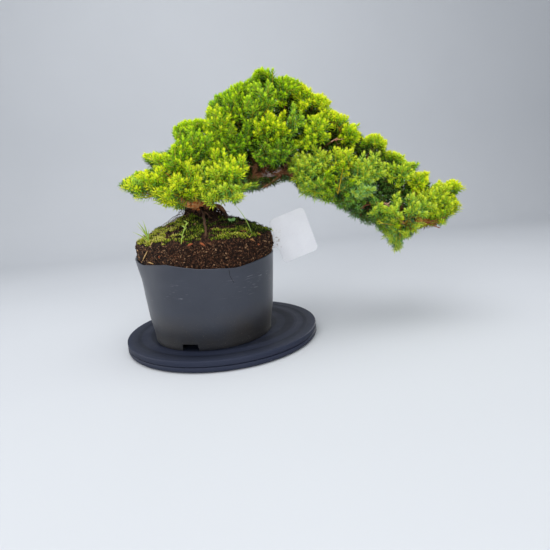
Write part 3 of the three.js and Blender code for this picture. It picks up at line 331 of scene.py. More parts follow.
# Moss: x, y, reach in x, reach in y, tone (0 dark green, 0.5 fresh green, 1 pale yellow), and the share of
# the ground that it covers
MOSS = [
    (-74, -52, 17, 22, 1, 0.95), (-52, -52, 18, 17, 1, 0.9), (-34, -48, 17, 20, 0.55, 0.9),
    (-31, -42, 13, 12, 0.75, 1), (-22, -80, 17, 13, 0.5, 0.9), (-10, -56, 15, 17, 0.3, 0.7),
    (8, -88, 26, 14, 0.6, 1), (32, -78, 24, 14, 0.55, 1), (24, -52, 24, 15, 0.2, 0.9),
    (44, -54, 18, 16, 0.28, 0.9), (56, -38, 14, 14, 0.45, 0.8), (30, -22, 26, 16, 0.2, 0.8),
    (-76, -66, 17, 17, 1, 0.95), (-56, -78, 19, 12, 0.95, 0.9), (-66, -74, 16, 12, 1, 0.95),
    (-38, -88, 17, 9, 0.6, 0.6), (-20, -94, 15, 7, 0.6, 0.7), (-60, -14, 20, 26, 0.6, 0.6),
    (-40, 22, 24, 20, 0.4, 0.8), (0, 38, 26, 18, 0.3, 0.8), (34, 20, 22, 22, 0.35, 0.7),
]
# Places with hardly any moss: x, y, reach in x, reach in y
BARE_MOSS = [(-46, -70, 9, 6), (-1, -58, 5, 20), (12, -30, 14, 10)]
# How many cushions of moss are tried
CUSHIONS = 1500

# Hair roots: under the stump, loose beside it, on the arching root and in the soil on the right
HAIRS = {"mat": 210, "loose": 24, "arch": 16, "right": 34}
# The pale root that runs down in front: photo pixels of its head and its foot, and the depth of its head
FRONT_ROOT_PX = [(203, 212), (206, 240)]
FRONT_ROOT_DEPTH = -38
# How many more bits of straw and bark are scattered
STRAWS = 46
# Litter on the root ball: photo pixels of its two ends, thickness, tone
LITTER_PX = [
    ((157, 234), (151, 246), 0.8, 1.0), ((148, 251), (143, 261), 0.7, 0.95),
    ((188, 246), (193, 244), 1.5, 0.25), ((200, 243), (205, 246), 1.3, 0.3),
    ((256, 234), (261, 236), 1.2, 0.35), ((250, 239), (254, 241), 0.9, 0.5),
    ((257, 244), (259, 245), 0.9, 0.3), ((148, 262), (154, 264), 0.6, 0.9),
    ((159, 256), (160, 258), 0.8, 0.3), ((210, 229), (219, 230), 0.35, 0.8),
    ((240, 231), (247, 232), 0.7, 0.4),
]

# Dead twigs: a branch, from and to which place on it they grow, how many, and the way they lean
DEAD_TWIG_ZONES = [
    ("leader", 0.33, 0.5, 46, (0.1, -0.8, 0.3)), ("leader", 0.66, 0.84, 34, (0, -0.6, -0.3)),
    ("drop", 0.2, 0.8, 10, (0.4, -0.6, -0.4)), ("rise_2", 0, 0.5, 16, (0.1, -0.8, 0.2)),
    ("rise_4", 0, 0.5, 12, (0, -0.8, 0.2)), ("rise_1", 0, 0.5, 12, (0, -0.8, 0.1)),
    ("leader", 0.88, 0.98, 16, (0.6, -0.5, -0.1)),
]
# Twigs that show between the needles: the photo pixels of both ends, depth, thickness, tone
SHOWN_TWIGS_PX = [
    ((331, 142), (338, 138), -52, 0.7, 0.9), ((335, 140), (344, 139), -54, 0.6, 0.85),
    ((360, 208), (371, 204), -50, 1.1, 0.4), ((380, 208), (389, 203), -50, 0.9, 1),
    ((384, 203), (393, 208), -51, 0.8, 0.95), ((388, 204), (391, 201), -51, 0.6, 1),
    ((221, 198), (225, 206), -56, 1.1, 0.2), ((231, 199), (236, 204), -56, 1.0, 0.1),
    ((282, 94), (285, 108), -36, 1.1, 0.5), ((288, 92), (286, 99), -38, 0.8, 0.85),
    ((409, 226), (426, 221), -42, 1.0, 0.75), ((420, 225), (445, 217), -41, 1.0, 0.8),
    ((414, 221), (432, 222), -44, 0.7, 0.7), ((430, 224), (441, 222), -42, 0.6, 0.75),
    ((243, 149), (257, 160), -4, 2.4, 0.1),
]

# Stems: radii at the base, the fork, side shoots and tips, how far a spray's stem ends before its last needle
# tips, the sides of a stem, and how side shoots lean outwards and lift
STEM = {
    "base": 1.6, "fork": 1.3, "side": 0.9, "tip": 0.45, "point": 3.5, "sides": 4, "lean": 1.3, "lift": 0.3,
}
# Where on its first stem a spray forks
FORK_PLACE = 0.3
# Length of the leafy end of each kind of shoot
LEAFY = {"stem": 34, "side": 26, "fill": 21, "shown": 40}
# Freshness of the needles on the young stems in full view
SHOWN_FRESH = 0.75
# How far needles lean away from their shoot, in radians
WIDEST_SPREAD = 0.9
# Side shoots, and then the twigs on them: between which places on their stem they grow, one for each so
# many mm of it, how long they are, and the room between their tips
SIDES = {
    "from": 0.2, "to": 0.96, "each": 3.0, "least": 8, "length": (9, 15), "share": 0.45, "turn": 0.4,
    "room": 6,
}
TWIGS = {"from": 0.3, "to": 0.9, "each": 6, "length": (7, 11), "least_side": 14, "room": 5.6}
# Side of the cells that tips are sorted into
TIP_CELL = 6
# How far right, back and up a shoot may end, so that its needles stay inside the solids' reach
REACH = (337.5, 100, 331)
# Grid of the places that further shoots are grown to: its step, its distance from the outline, the depth of
# notches in that outline and the jitter, in pixels; the least and most length of a shoot; the passes
FILL = {"step": 4.5, "margin": 2.2, "notch": 5, "least": 8, "most": 36, "passes": 4, "jitter": 1.6}
# How strongly each clump bulges between the tips, in mm for each square pixel, how far, and how much darker
# its valleys are painted, as painted shade; how softly one clump passes into the next; the depths of the
# foliage's edge seen from the front and from behind, and how many pixels in from its outline the foliage is
# rounded
CLUMP = {
    "curve": 0.13, "reach": 11, "shade": 0.72, "soft": 60, "front": -24, "back": -14, "rounded": 11,
}
# Where a new shoot grows from: how many nearby places are tried, and how much it counts for a place that
# the shoot goes on the way its stem grows, outwards or up; and how far it may turn back from the first two
CHOICE = {
    "places": 24, "distance": 1.7, "way": 0.6, "outwards": 0.7, "up": 0.25, "least_way": -0.3,
    "least_outwards": -0.2,
}
# Depths that are filled: which side, how far in from its surface, how fresh its needles are, and room between
# its tips. The deeper layers' duller needles are partly older needles and partly painted shade
FILL_LAYERS = [("front", 0, 1, 7.1), ("back", 0, 0.95, 8), ("front", 11, 0.58, 6.4), ("back", 14, 0.55, 9.4)]
# Where too few needles lie one behind the other, more are grown in the middle of the foliage, at these
# depths; two small openings are left, as in the photograph
# The inner shoots' duller needles are partly older needles and partly painted shade deep in the foliage
HOLES = {"depths": (-16, 0, -28), "room": 3.4, "fresh": 0.45, "layers": 3.5, "spot": 3, "bare": 9}
OPEN_PX = [(213, 122, 3), (300, 96, 3)]
# Shoots less fresh than this are inner ones, with fewer, broader needles
INNER_FRESH = 0.47
# Size of a pixel of the photograph at the foliage, in mm
MM_PER_PX = 1.33
# How open the end of every shoot is, from 0 for a pointed bud to 1 for a flat brush
ROUND_TIP = 0.2
# A needle in mm: bulge is how far its middle stands out for each mm of length, and jitter is in radians.
# Its whorls: where the first one sits behind the tip, the widest gap between two, how fast gaps widen, how
# far back needles age and how fresh the oldest are
NEEDLE = {
    "length": 7.1, "half_width": 0.66, "half_thick": 0.5, "bulge": 0.07, "jitter": 0.14,
    "first": 0.2, "gap": 2.3, "gap_grows": 0.22, "ages": 9, "least_fresh": 0.17,
}
# How much bluer the waxy older needles are
WAX = 0.3
NEEDLE_FACES = np.array([[0, 1, 2], [0, 2, 3], [0, 3, 1], [4, 2, 1], [4, 3, 2], [4, 1, 3]])

# Weeds: places and reach of each blade, as in the solid part
TUFT = {
    "x": -73, "y": -68, "width": 1.9,
    "blades": [(-9, -2, 23), (-4, 3, 25), (-17, 2, 13), (3, -3, 15), (-12, 6, 19)],
}
LONG_BLADE = {"x": 42, "y": -78, "width": 0.8, "blades": [(-18, 2, 38)]}
SEEDLING = {"x": 21, "y": -56, "stalk": (0, -3, 4), "leaf": 4.8}
STALK_PX = [(181, 244), (187, 223)]

# Label: place of the neck, tilt in degrees, and sizes of the head; then its stem
LABEL = {"x": 78, "y": -19, "z": 122.2, "tilt": 17.5, "thick": 1, "head": 49, "width": 60, "corner": 6}
LABEL_STEM = {"width": 9, "length": 46, "point": 7, "shoulder": 8}


def rng(key):
    return random.Random(f"{SEED}-{key}")


def unit(v):
    v = np.asarray(v, float)
    return v / max(np.linalg.norm(v), 1e-9)


def scatter(draw, size):
    """A random offset in all three directions."""
    return [draw.gauss(0, size), draw.gauss(0, size), draw.gauss(0, size)]


def nearest_tree(points):
    """A search tree that finds the nearest of some points."""
    tree = KDTree(len(points))
    for number, point in enumerate(points):
        tree.insert(Vector(point), number)
    tree.balance()
    return tree


def lerp(a, b, t):
    return a + (b - a) * t


def smooth(low, high, value):
    t = np.clip((value - low) / (high - low), 0, 1)
    return t * t * (3 - 2 * t)


def read_table(table, place):
    return float(np.interp(place, [row[0] for row in table], [row[1] for row in table]))


# Camera
def camera_turn():
    turns = [("Z", CAMERA["yaw"]), ("X", 90 - CAMERA["pitch"]), ("Z", CAMERA["roll"])]
    matrix = Matrix.Identity(3)
    for axis, degrees in turns:
        matrix = matrix @ Matrix.Rotation(math.radians(degrees), 3, axis)
    return matrix


CAMERA_TURN = camera_turn()
CAMERA_TURN_ARRAY = np.array(CAMERA_TURN)
CAMERA_PLACE = np.array([CAMERA["x"], CAMERA["y"], CAMERA["z"]], float)
FOCAL_PX = CAMERA["lens"] / SENSOR * PHOTO_SIDE


def to_photo(points):
    """Where points in millimetres fall in the photograph, in its pixels."""
    seen = (np.atleast_2d(points) - CAMERA_PLACE) @ CAMERA_TURN_ARRAY
    across = PHOTO_SIDE / 2 + FOCAL_PX * seen[:, 0] / -seen[:, 2]
    down = PHOTO_SIDE / 2 - FOCAL_PX * seen[:, 1] / -seen[:, 2]
    return np.column_stack([across, down])


def from_photo(pixel, depth):
    """The point in millimetres behind a pixel, in the upright plane y = depth."""
    way = np.array([pixel[0] - PHOTO_SIDE / 2, PHOTO_SIDE / 2 - pixel[1], -FOCAL_PX]) @ CAMERA_TURN_ARRAY.T
    return CAMERA_PLACE + way * (depth - CAMERA_PLACE[1]) / way[1]


def inside_distance(pixels):
    """Distance in pixels to the foliage's outline, positive inside it."""
    pixels = np.atleast_2d(pixels)
    a = np.array(OUTLINE_PX, float)
    b = np.roll(a, -1, axis=0)
    edge = b - a
    rel = pixels[:, None, :] - a[None]
    t = np.clip((rel * edge).sum(2) / (edge * edge).sum(1), 0, 1)
    near = np.linalg.norm(rel - t[..., None] * edge, axis=2).min(1)
    spans = (a[None, :, 1] > pixels[:, None, 1]) != (b[None, :, 1] > pixels[:, None, 1])
    slope = edge[None, :, 0] * rel[..., 1] / np.where(edge[None, :, 1] == 0, 1e-9, edge[None, :, 1])
    inside = (spans & (rel[..., 0] < slope)).sum(1) % 2 == 1
    return np.where(inside, near, -near)


def hangs_free(pixels, deep):
    """Whether pixels inside the foliage lie by its lower edge."""
    return (deep < LOWER_EDGE) & (inside_distance(np.atleast_2d(pixels) + [0, 4]) < deep - 2)


def rim_share(pixels, deep):
    """How near pixels lie to the upper outline of the foliage, where it catches the light, from 0 to 1."""
    return (1 - smooth(4, 10, deep)) * ~hangs_free(pixels, deep)


def spray_tips():
    """The tips of every spray with their tones: those listed with it, then those along the lower edge."""
    tips = []
    for _, _, _, fresh, blue, places in SPRAYS:
        tips.append([(np.array(tip, float), fresh, blue) for tip in places])
    names = [row[0] for row in SPRAYS]
    for name, pixel, depth, fresh, blue in EDGE_TIPS_PX:
        tips[names.index(name)].append((from_photo(pixel, depth), fresh, blue))
    return tips


SPRAY_TIPS = spray_tips()
# The first shoots of the canopy are the stems of its sprays
FIRST_STEMS = sum(len(tips) for tips in SPRAY_TIPS)


def add_camera():
    data = bpy.data.cameras.new("camera")
    data.sensor_width = SENSOR
    data.lens = CAMERA["lens"]
    camera = bpy.data.objects.new("camera", data)
    camera.matrix_world = Matrix.Translation(Vector(CAMERA_PLACE) * MM) @ CAMERA_TURN.to_4x4()
    bpy.context.scene.collection.objects.link(camera)
    bpy.context.scene.camera = camera


# Meshes
def add_piece(name, verts, faces, material, body=TOP, node=None, slot=None, tint=None, flat=False):
    """A mesh object from points in millimetres and faces of equal corner count, riding on a body."""
    verts = np.asarray(verts, float).reshape(-1, 3) * MM
    faces = np.asarray(faces, np.int32)
    corners = faces.shape[1]
    mesh = bpy.data.meshes.new(name)
    mesh.vertices.add(len(verts))
    mesh.vertices.foreach_set("co", verts.ravel())
    mesh.loops.add(faces.size)
    mesh.loops.foreach_set("vertex_index", faces.ravel())
    mesh.polygons.add(len(faces))
    mesh.polygons.foreach_set("loop_start", np.arange(0, faces.size, corners, dtype=np.int32))
    mesh.update(calc_edges=True)
    mesh.validate()
    if not flat:
        mesh.shade_smooth()
    if tint is not None:
        layer = mesh.attributes.new("tint", "FLOAT_COLOR", "POINT")
        layer.data.foreach_set("color", np.asarray(tint, np.float32).ravel())
    return add_object(name, mesh, material, body, node, slot)


def add_object(name, mesh, material, body=TOP, node=None, slot=None):
    piece = bpy.data.objects.new(name, mesh)
    bpy.context.scene.collection.objects.link(piece)
    mesh.materials.clear()
    mesh.materials.append(material)
    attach(piece, body)
    if node:
        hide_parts(*([node] if isinstance(node, str) else node))
    return piece


class Heap:
    """Gathers triangles from many small forms into one mesh."""

    def __init__(self):
        self.verts, self.faces, self.tints, self.count = [], [], [], 0

    def add(self, verts, faces, tint):
        verts = np.asarray(verts, float).reshape(-1, 3)
        self.verts.append(verts)
        self.faces.append(np.asarray(faces, np.int64).reshape(-1, 3) + self.count)
        self.tints.append(np.broadcast_to(np.asarray(tint, float), (len(verts), 4)))
        self.count += len(verts)

    def piece(self, name, material, **options):
        arrays = [np.concatenate(part) for part in (self.verts, self.faces, self.tints)]
        return add_piece(name, arrays[0], arrays[1], material, tint=arrays[2], **options)


def frames_along(points):
    """Tangent, normal and binormal at each point of a line, turned as little as possible."""
    points = np.asarray(points, float)
    tangents = np.gradient(points, axis=0)
    tangents /= np.linalg.norm(tangents, axis=1)[:, None]
    normal = np.cross(tangents[0], [0.01, 0.02, 1])
    normals = []
    for tangent in tangents:
        normal = normal - tangent * normal.dot(tangent)
        normal = normal / max(np.linalg.norm(normal), 1e-9)
        normals.append(normal)
    normals = np.array(normals)
    return tangents, normals, np.cross(tangents, normals)


def tube(points, radii, sides, round_ends=False):
    """Closed tube along points. Returns its points and triangles."""
    points = np.asarray(points, float)
    radii = np.broadcast_to(np.asarray(radii, float), (len(points),)).copy()
    tangents, normals, binormals = frames_along(points)
    if round_ends:
        start, end = points[0] - tangents[0] * radii[0] * 0.6, points[-1] + tangents[-1] * radii[-1] * 0.6
        points = np.vstack([start, points, end])
        radii = np.concatenate([[radii[0] * 0.55], radii, [radii[-1] * 0.55]])
        normals = np.vstack([normals[:1], normals, normals[-1:]])
        binormals = np.vstack([binormals[:1], binormals, binormals[-1:]])
    angles = np.arange(sides) * 2 * math.pi / sides
    cos, sin = np.cos(angles)[None, :, None], np.sin(angles)[None, :, None]
    ring = normals[:, None] * cos + binormals[:, None] * sin
    verts = (points[:, None] + ring * radii[:, None, None]).reshape(-1, 3)
    verts = np.vstack([verts, points[:1], points[-1:]])
    return verts, tube_faces(len(points), sides)


def tube_faces(rows, sides):
    """Triangles of a tube of rings, fanned to two points that come after them."""
    k = np.arange(sides)
    nxt = (k + 1) % sides
    faces = []
    for row in range(rows - 1):
        a, b = row * sides, (row + 1) * sides
        faces.append(np.column_stack([a + k, a + nxt, b + k]))
        faces.append(np.column_stack([a + nxt, b + nxt, b + k]))
    start, end, last = rows * sides, rows * sides + 1, (rows - 1) * sides
    faces.append(np.column_stack([np.full(sides, start), nxt, k]))
    faces.append(np.column_stack([np.full(sides, end), last + k, last + nxt]))
    return np.vstack(faces)


def quadratic(start, bend, end, places):
    """Points of a quadratic curve at places from 0 to 1."""
    places = np.asarray(places, float)[:, None]
    return (1 - places) ** 2 * start + 2 * places * (1 - places) * bend + places**2 * end


def branch_points(rows, places):
    """Points and radii of a branch: a centripetal Catmull-Rom curve, read at places from 0 to 1."""
    p = np.array([row[:3] for row in rows], float)
    radius = np.array([row[3] for row in rows], float)
    ends = (2 * p[0] - p[1], 2 * p[-1] - p[-2])
    p = np.vstack([ends[0], p, ends[1]])
    places = np.atleast_1d(np.asarray(places, float)) * (len(rows) - 1)
    found = []
    for place in places:
        i = min(int(place), len(rows) - 2)
        w = place - i
        x0, x1, x2, x3 = p[i : i + 4]
        d0, d1, d2 = (max(np.linalg.norm(b - a), 1e-6) ** 0.5 for a, b in ((x0, x1), (x1, x2), (x2, x3)))
        t1 = ((x1 - x0) / d0 - (x2 - x0) / (d0 + d1) + (x2 - x1) / d1) * d1
        t2 = ((x2 - x1) / d1 - (x3 - x1) / (d1 + d2) + (x3 - x2) / d2) * d1
        c2, c3 = -3 * x1 + 3 * x2 - 2 * t1 - t2, 2 * x1 - 2 * x2 + t1 + t2
        found.append(x1 + t1 * w + c2 * w**2 + c3 * w**3)
    return np.array(found), np.interp(places, np.arange(len(rows)), radius)


def lathe(profile, sides, closed):
    """Solid of revolution about +Z from (radius, height) pairs. Returns its points and quads or triangles."""
    angles = np.arange(sides) * 2 * math.pi / sides
    verts, rings = [], []
    for radius, height in profile:
        count = 1 if radius < 1e-6 else sides
        rings.append((len(verts), count))
        for angle in angles[:count]:
            verts.append((radius * math.cos(angle), radius * math.sin(angle), height))
    faces = []
    pairs = list(zip(rings, rings[1:] + rings[:1])) if closed else list(zip(rings, rings[1:]))
    for (a, a_count), (b, b_count) in pairs:
        for k in range(sides):
            n = (k + 1) % sides
            if a_count == 1:
                faces.append((a, b + n, b + k))
            elif b_count == 1:
                faces.append((a + k, a + n, b))
            else:
                faces.append((a + k, a + n, b + n))
                faces.append((a + k, b + n, b + k))
    return verts, faces


# Materials
class Look:
    """Builds one node material step by step."""

    def __init__(self, name, roughness, gloss=0.5, metallic=0):
        self.material = bpy.data.materials.new(name)
        self.material.use_nodes = True
        self.nodes = self.material.node_tree.nodes
        self.links = self.material.node_tree.links
        self.shader = self.nodes["Principled BSDF"]
        self.shader.inputs["Roughness"].default_value = roughness
        self.shader.inputs["Specular IOR Level"].default_value = gloss
        self.shader.inputs["Metallic"].default_value = metallic
        self.place = self.nodes.new("ShaderNodeTexCoord").outputs["Object"]

    def node(self, kind, inputs=None, **settings):
        made = self.nodes.new(kind)
        for key, value in settings.items():
            setattr(made, key, value)
        for key, value in (inputs or {}).items():
            self.feed(made.inputs[key], value)
        return made

    def feed(self, socket, value):
        if isinstance(value, bpy.types.NodeSocket):
            self.links.new(value, socket)
        else:
            socket.default_value = value

    def noise(self, scale, detail=4, roughness=0.55, stretch=(1, 1, 1), distortion=0):
        mapping = self.node("ShaderNodeMapping", {"Vector": self.place, "Scale": stretch})
        inputs = {"Vector": mapping.outputs[0], "Scale": scale, "Detail": detail}
        inputs.update({"Roughness": roughness, "Distortion": distortion})
        return self.node("ShaderNodeTexNoise", inputs).outputs["Fac"]

    def ramp(self, value, stops):
        """A colour ramp from stops of a position and a screen colour from 0 to 255."""
        made = self.node("ShaderNodeValToRGB", {"Fac": value})
        elements = made.color_ramp.elements
        while len(elements) < len(stops):
            elements.new(0.5)
        for element, (position, *colour) in zip(elements, stops):
            element.position = position
            element.color = (*srgb(*colour), 1)
        return made.outputs["Color"]

    def mix(self, factor, a, b):
        made = self.node("ShaderNodeMix", data_type="RGBA")
        for index, value in ((0, factor), (6, a), (7, b)):
            if isinstance(value, tuple) and len(value) == 3:
                value = (*value, 1)
            self.feed(made.inputs[index], value)
        return made.outputs[2]

    def math(self, operation, a, b=0.0):
        made = self.node("ShaderNodeMath", {0: a, 1: b}, operation=operation)
        return made.outputs[0]

    def times(self, a, b):
        return self.math("MULTIPLY", a, b)

    def axes(self):
        """The place on the piece, in metres, as X, Y and Z."""
        return self.node("ShaderNodeSeparateXYZ", {"Vector": self.place}).outputs

    def range(self, value, low, high, new_low=0.0, new_high=1.0):
        limits = {"From Min": low, "From Max": high, "To Min": new_low, "To Max": new_high}
        return self.node("ShaderNodeMapRange", {"Value": value, **limits}).outputs[0]

    def bump(self, height, distance, strength=1.0):
        made = self.node("ShaderNodeBump", {"Height": height, "Distance": distance, "Strength": strength})
        self.links.new(made.outputs[0], self.shader.inputs["Normal"])

    def tint(self):
        """The four numbers that the piece's points carry."""
        attribute = self.node("ShaderNodeAttribute", attribute_name="tint")
        split = self.node("ShaderNodeSeparateColor", {"Color": attribute.outputs["Color"]})
        return (*split.outputs, attribute.outputs["Alpha"])

    def paint(self, colour):
        self.feed(self.shader.inputs["Base Color"], colour)
        return self

    def rough(self, value):
        self.feed(self.shader.inputs["Roughness"], value)
        return self


def srgb(red, green, blue):
    """A screen colour from 0 to 255 as linear light."""
    parts = [v / 255 for v in (red, green, blue)]
    return tuple(v / 12.92 if v <= 0.04045 else ((v + 0.055) / 1.055) ** 2.4 for v in parts)


def foliage_look():
    look = Look("foliage", 0.55, gloss=0.12)
    fresh, along, tone, blue = look.tint()
    greens = [
        (0, 26, 45, 9), (0.25, 56, 103, 10), (0.5, 126, 184, 8), (0.75, 196, 230, 10), (1, 236, 244, 40),
    ]
    # the needles' green follows the first tint channel: their age, and also painted shade in the clumps'
    # valleys and deep inside, and painted light near the upper outline
    green = look.ramp(fresh, greens)
    varied = look.mix(look.range(tone, 0, 1, 0, 0.2), green, look.mix(0.5, green, srgb(214, 176, 16)))
    waxy = look.times(blue, look.range(along, 0.15, 0.7, 0.2, 1))
    banded = look.mix(waxy, varied, srgb(126, 186, 120))
    tipped = look.mix(look.range(along, 0.75, 1, 0, 0.3), banded, look.mix(0.5, banded, srgb(230, 236, 90)))
    look.paint(tipped)
    return look.material


def twig_look():
    look = Look("green_stems", 0.6)
    old, inner, _, _ = look.tint()
    bark = look.ramp(old, [(0, 176, 192, 30), (0.5, 190, 156, 36), (1, 120, 78, 44)])
    # stems of duller shoots are painted darker: partly older inner wood, partly painted shade inside the
    # foliage
    look.paint(look.mix(look.range(inner, 0.25, 0.6, 0, 0.85), bark, srgb(58, 60, 20)))
    return look.material


def bark_look():
    look = Look("bark", 0.85)
    red, pale, dark, _ = look.tint()
    fibres = look.noise(420, 6, 0.7, (0.3, 1, 1))
    patches = look.noise(60, 3)
    brown = look.ramp(fibres, [(0.3, 50, 30, 18), (0.5, 110, 68, 40), (0.72, 168, 116, 76)])
    mottled = look.mix(look.range(patches, 0.4, 0.65, 0, 0.6), brown, srgb(70, 48, 38))
    orange = look.ramp(fibres, [(0.32, 150, 66, 22), (0.46, 246, 140, 64), (0.6, 255, 206, 140)])
    warm = look.mix(red, mottled, orange)
    dead = look.mix(pale, warm, look.ramp(fibres, [(0.3, 120, 100, 96), (0.7, 196, 176, 168)]))
    look.paint(look.mix(look.times(dark, 0.85), dead, srgb(30, 20, 15)))
    look.bump(fibres, 0.0006, 0.8)
    return look.material


def soil_look():
    look = Look("peat", 0.95, gloss=MATT)
    grain = look.noise(420, 6, 0.7)
    clods = look.noise(90, 4, 0.6)
    base = look.ramp(grain, [(0.36, 10, 6, 4), (0.5, 38, 23, 15), (0.62, 104, 68, 47), (0.74, 184, 140, 104)])
    look.paint(look.mix(look.range(clods, 0.38, 0.62, 0, 0.75), base, srgb(20, 12, 9)))
    look.bump(grain, 0.0012, 1)
    return look.material


def crumb_look(name, stops, roughness=0.9):
    """A matt look whose colour follows the tone that each small form carries."""
    look = Look(name, roughness, gloss=MATT)
    tone = look.tint()[0]
    grain = look.noise(700, 3)
    look.paint(look.mix(look.range(grain, 0.3, 0.7, 0, 0.4), look.ramp(tone, stops), srgb(*stops[0][1:])))
    return look.material


def turntable_look():
    look = Look("turntable_plastic", 0.55, gloss=0.09)
    broad = look.noise(12, 3)
    dust = look.noise(1200, 2, 0.5)
    film = look.noise(30, 5, 0.7)
    axes = look.axes()
    squares = look.math("ADD", look.math("POWER", axes["X"], 2), look.math("POWER", axes["Y"], 2))
    radius = look.math("SQRT", squares)
    rings = look.math("SINE", look.times(radius, BAND_WAVE))
    # painted highlight: the outer edge of the discs is painted paler towards the rim
    worn = look.range(radius, *PAINTED_EDGE_HIGHLIGHT, 0, 0.5)
    base = look.mix(worn, look.mix(broad, srgb(19, 23, 35), srgb(26, 31, 45)), srgb(62, 67, 83))
    banded = look.mix(look.range(rings, -0.25, 0.25, 0, 0.6), base, srgb(41, 46, 63))
    dusty = look.mix(look.range(dust, 0.72, 0.8, 0, 0.4), banded, srgb(130, 134, 140))
    look.paint(look.mix(look.range(film, 0.45, 0.75, 0, 0.05), dusty, srgb(90, 94, 104)))
    look.rough(look.range(film, 0.3, 0.7, 0.48, 0.64))
    return look.material


def glide_look():
    look = Look("glide_plastic", 0.4)
    film = look.noise(120, 4, 0.6)
    look.paint(look.mix(film, srgb(214, 212, 204), srgb(232, 230, 224)))
    look.rough(look.range(film, 0.3, 0.7, 0.34, 0.5))
    return look.material


def steel_look():
    look = Look("pin_steel", 0.3, metallic=1)
    turned = look.noise(900, 3, 0.5, (0.05, 0.05, 1))
    look.paint(look.mix(turned, srgb(150, 152, 156), srgb(188, 190, 194)))
    look.rough(look.range(turned, 0.3, 0.7, 0.24, 0.4))
    look.bump(turned, 0.00005, 0.4)
    return look.material


def pot_look():
    look = Look("pot_plastic", 0.34)
    height = look.axes()["Z"]
    film = look.noise(35, 5, 0.65)
    cloud = look.noise(14, 3, 0.6)
    patches = look.noise(26, 3, 0.6)
    dots = look.noise(700, 3, 0.6, (0.12, 0.12, 1))
    line = look.noise(320, 2, 0.7, (0.1, 0.1, 1), 0.4)
    band = look.times(look.range(height, 0.07, 0.079), look.range(height, 0.1, 0.094))
    worn = look.times(band, look.range(patches, 0.44, 0.6))
    worn = look.times(worn, look.range(dots, 0.56, 0.68))
    marks = look.times(worn, look.range(line, 0.46, 0.56))
    low = look.range(height, 0.024, 0.062, 1, 0)
    base = look.mix(film, srgb(38, 42, 53), srgb(50, 55, 67))
    scuffed = look.mix(look.times(marks, 0.45), base, srgb(150, 154, 162))
    brownish = look.mix(look.times(low, look.range(cloud, 0.4, 0.65)), scuffed, srgb(56, 50, 44))
    # painted shade and painted reflection of the dark turntable: the wall is painted darker towards its foot
    painted_foot_shade = look.mix(look.times(look.math("POWER", low, 2), 0.8), brownish, srgb(13, 13, 16))
    specks = look.noise(1100, 2)
    dust = look.times(look.range(specks, 0.66, 0.74), look.range(height, 0.06, 0.02, 0.12, 0.6))
    look.paint(look.mix(dust, painted_foot_shade, srgb(130, 124, 116)))
    look.rough(look.math("ADD", look.range(film, 0.3, 0.7, 0.28, 0.42), look.times(low, 0.25)))
    look.bump(film, 0.0003, 0.3)
    return look.material


def label_look():
    look = Look("label_plastic", 0.38)
    smudge = look.noise(55, 4, 0.6)
    fine = look.noise(400, 3)
    base = look.mix(look.range(smudge, 0.35, 0.7, 0, 0.25), srgb(212, 213, 218), srgb(188, 189, 198))
    axes = look.axes()
    near = look.times(look.range(axes["Z"], 0.142, 0.132), look.range(axes["X"], 0.085, 0.081))
    neck = look.times(near, look.range(fine, 0.56, 0.64, 0, 0.7))
    spotted = look.mix(look.range(fine, 0.6, 0.75, 0, 0.15), base, srgb(160, 150, 140))
    look.paint(look.mix(neck, spotted, srgb(120, 100, 84)))
    return look.material


def grass_look():
    look = Look("grass", 0.5)
    along, tone, _, _ = look.tint()
    streaks = look.noise(500, 3, 0.5, (1, 1, 0.1))
    green = look.ramp(along, [(0, 158, 156, 70), (0.4, 146, 176, 46), (1, 184, 200, 84)])
    streaked = look.mix(look.range(streaks, 0.4, 0.7, 0, 0.4), green, srgb(112, 146, 44))
    look.paint(look.mix(tone, streaked, srgb(108, 158, 88)))
    return look.material


# Stage
def add_stage():
    """A pale floor that rises behind the object in one soft curve."""
    floor_mesh = bpy.data.meshes.new("floor")
    side, back, height, curve = (STAGE[key] for key in ("side", "back", "height", "curve"))
    profile = [(-side, 0), (back - curve, 0)]
    for step in range(1, 9):
        angle = step * math.pi / 16
        profile.append((back - curve + curve * math.sin(angle), curve - curve * math.cos(angle)))
    profile.append((back, height))
    verts = [(x, y, z) for y, z in profile for x in (-side, side)]
    faces = [(2 * i, 2 * i + 1, 2 * i + 3, 2 * i + 2) for i in range(len(profile) - 1)]
    floor_mesh.from_pydata(verts, [], faces)
    floor_mesh.shade_smooth()
    look = Look("floor", 0.8, gloss=0)
    look.paint(look.mix(look.noise(3, 2), (0.57, 0.59, 0.62), (0.6, 0.62, 0.65)))
    floor_mesh.materials.append(look.material)
    floor = bpy.data.objects.new("floor", floor_mesh)
    bpy.context.scene.collection.objects.link(floor)


def add_light(name, place, aim, size, power, gloss_only):
    data = bpy.data.lights.new(name, "AREA")
    data.shape = "RECTANGLE"
    data.size, data.size_y = size
    data.energy = power
    light = bpy.data.objects.new(name, data)
    light.location = place
    light.rotation_euler = (Vector(aim) - Vector(place)).to_track_quat("-Z", "Y").to_euler()
    light.visible_camera = False
    light.visible_diffuse = not gloss_only
    bpy.context.scene.collection.objects.link(light)


def add_lights():
    for row in LIGHTS:
        add_light(*row)
    world = bpy.data.worlds.new("studio")
    world.use_nodes = True
    background = world.node_tree.nodes["Background"].inputs
    background["Color"].default_value = SKY["colour"]
    background["Strength"].default_value = SKY["strength"]
    bpy.context.scene.world = world


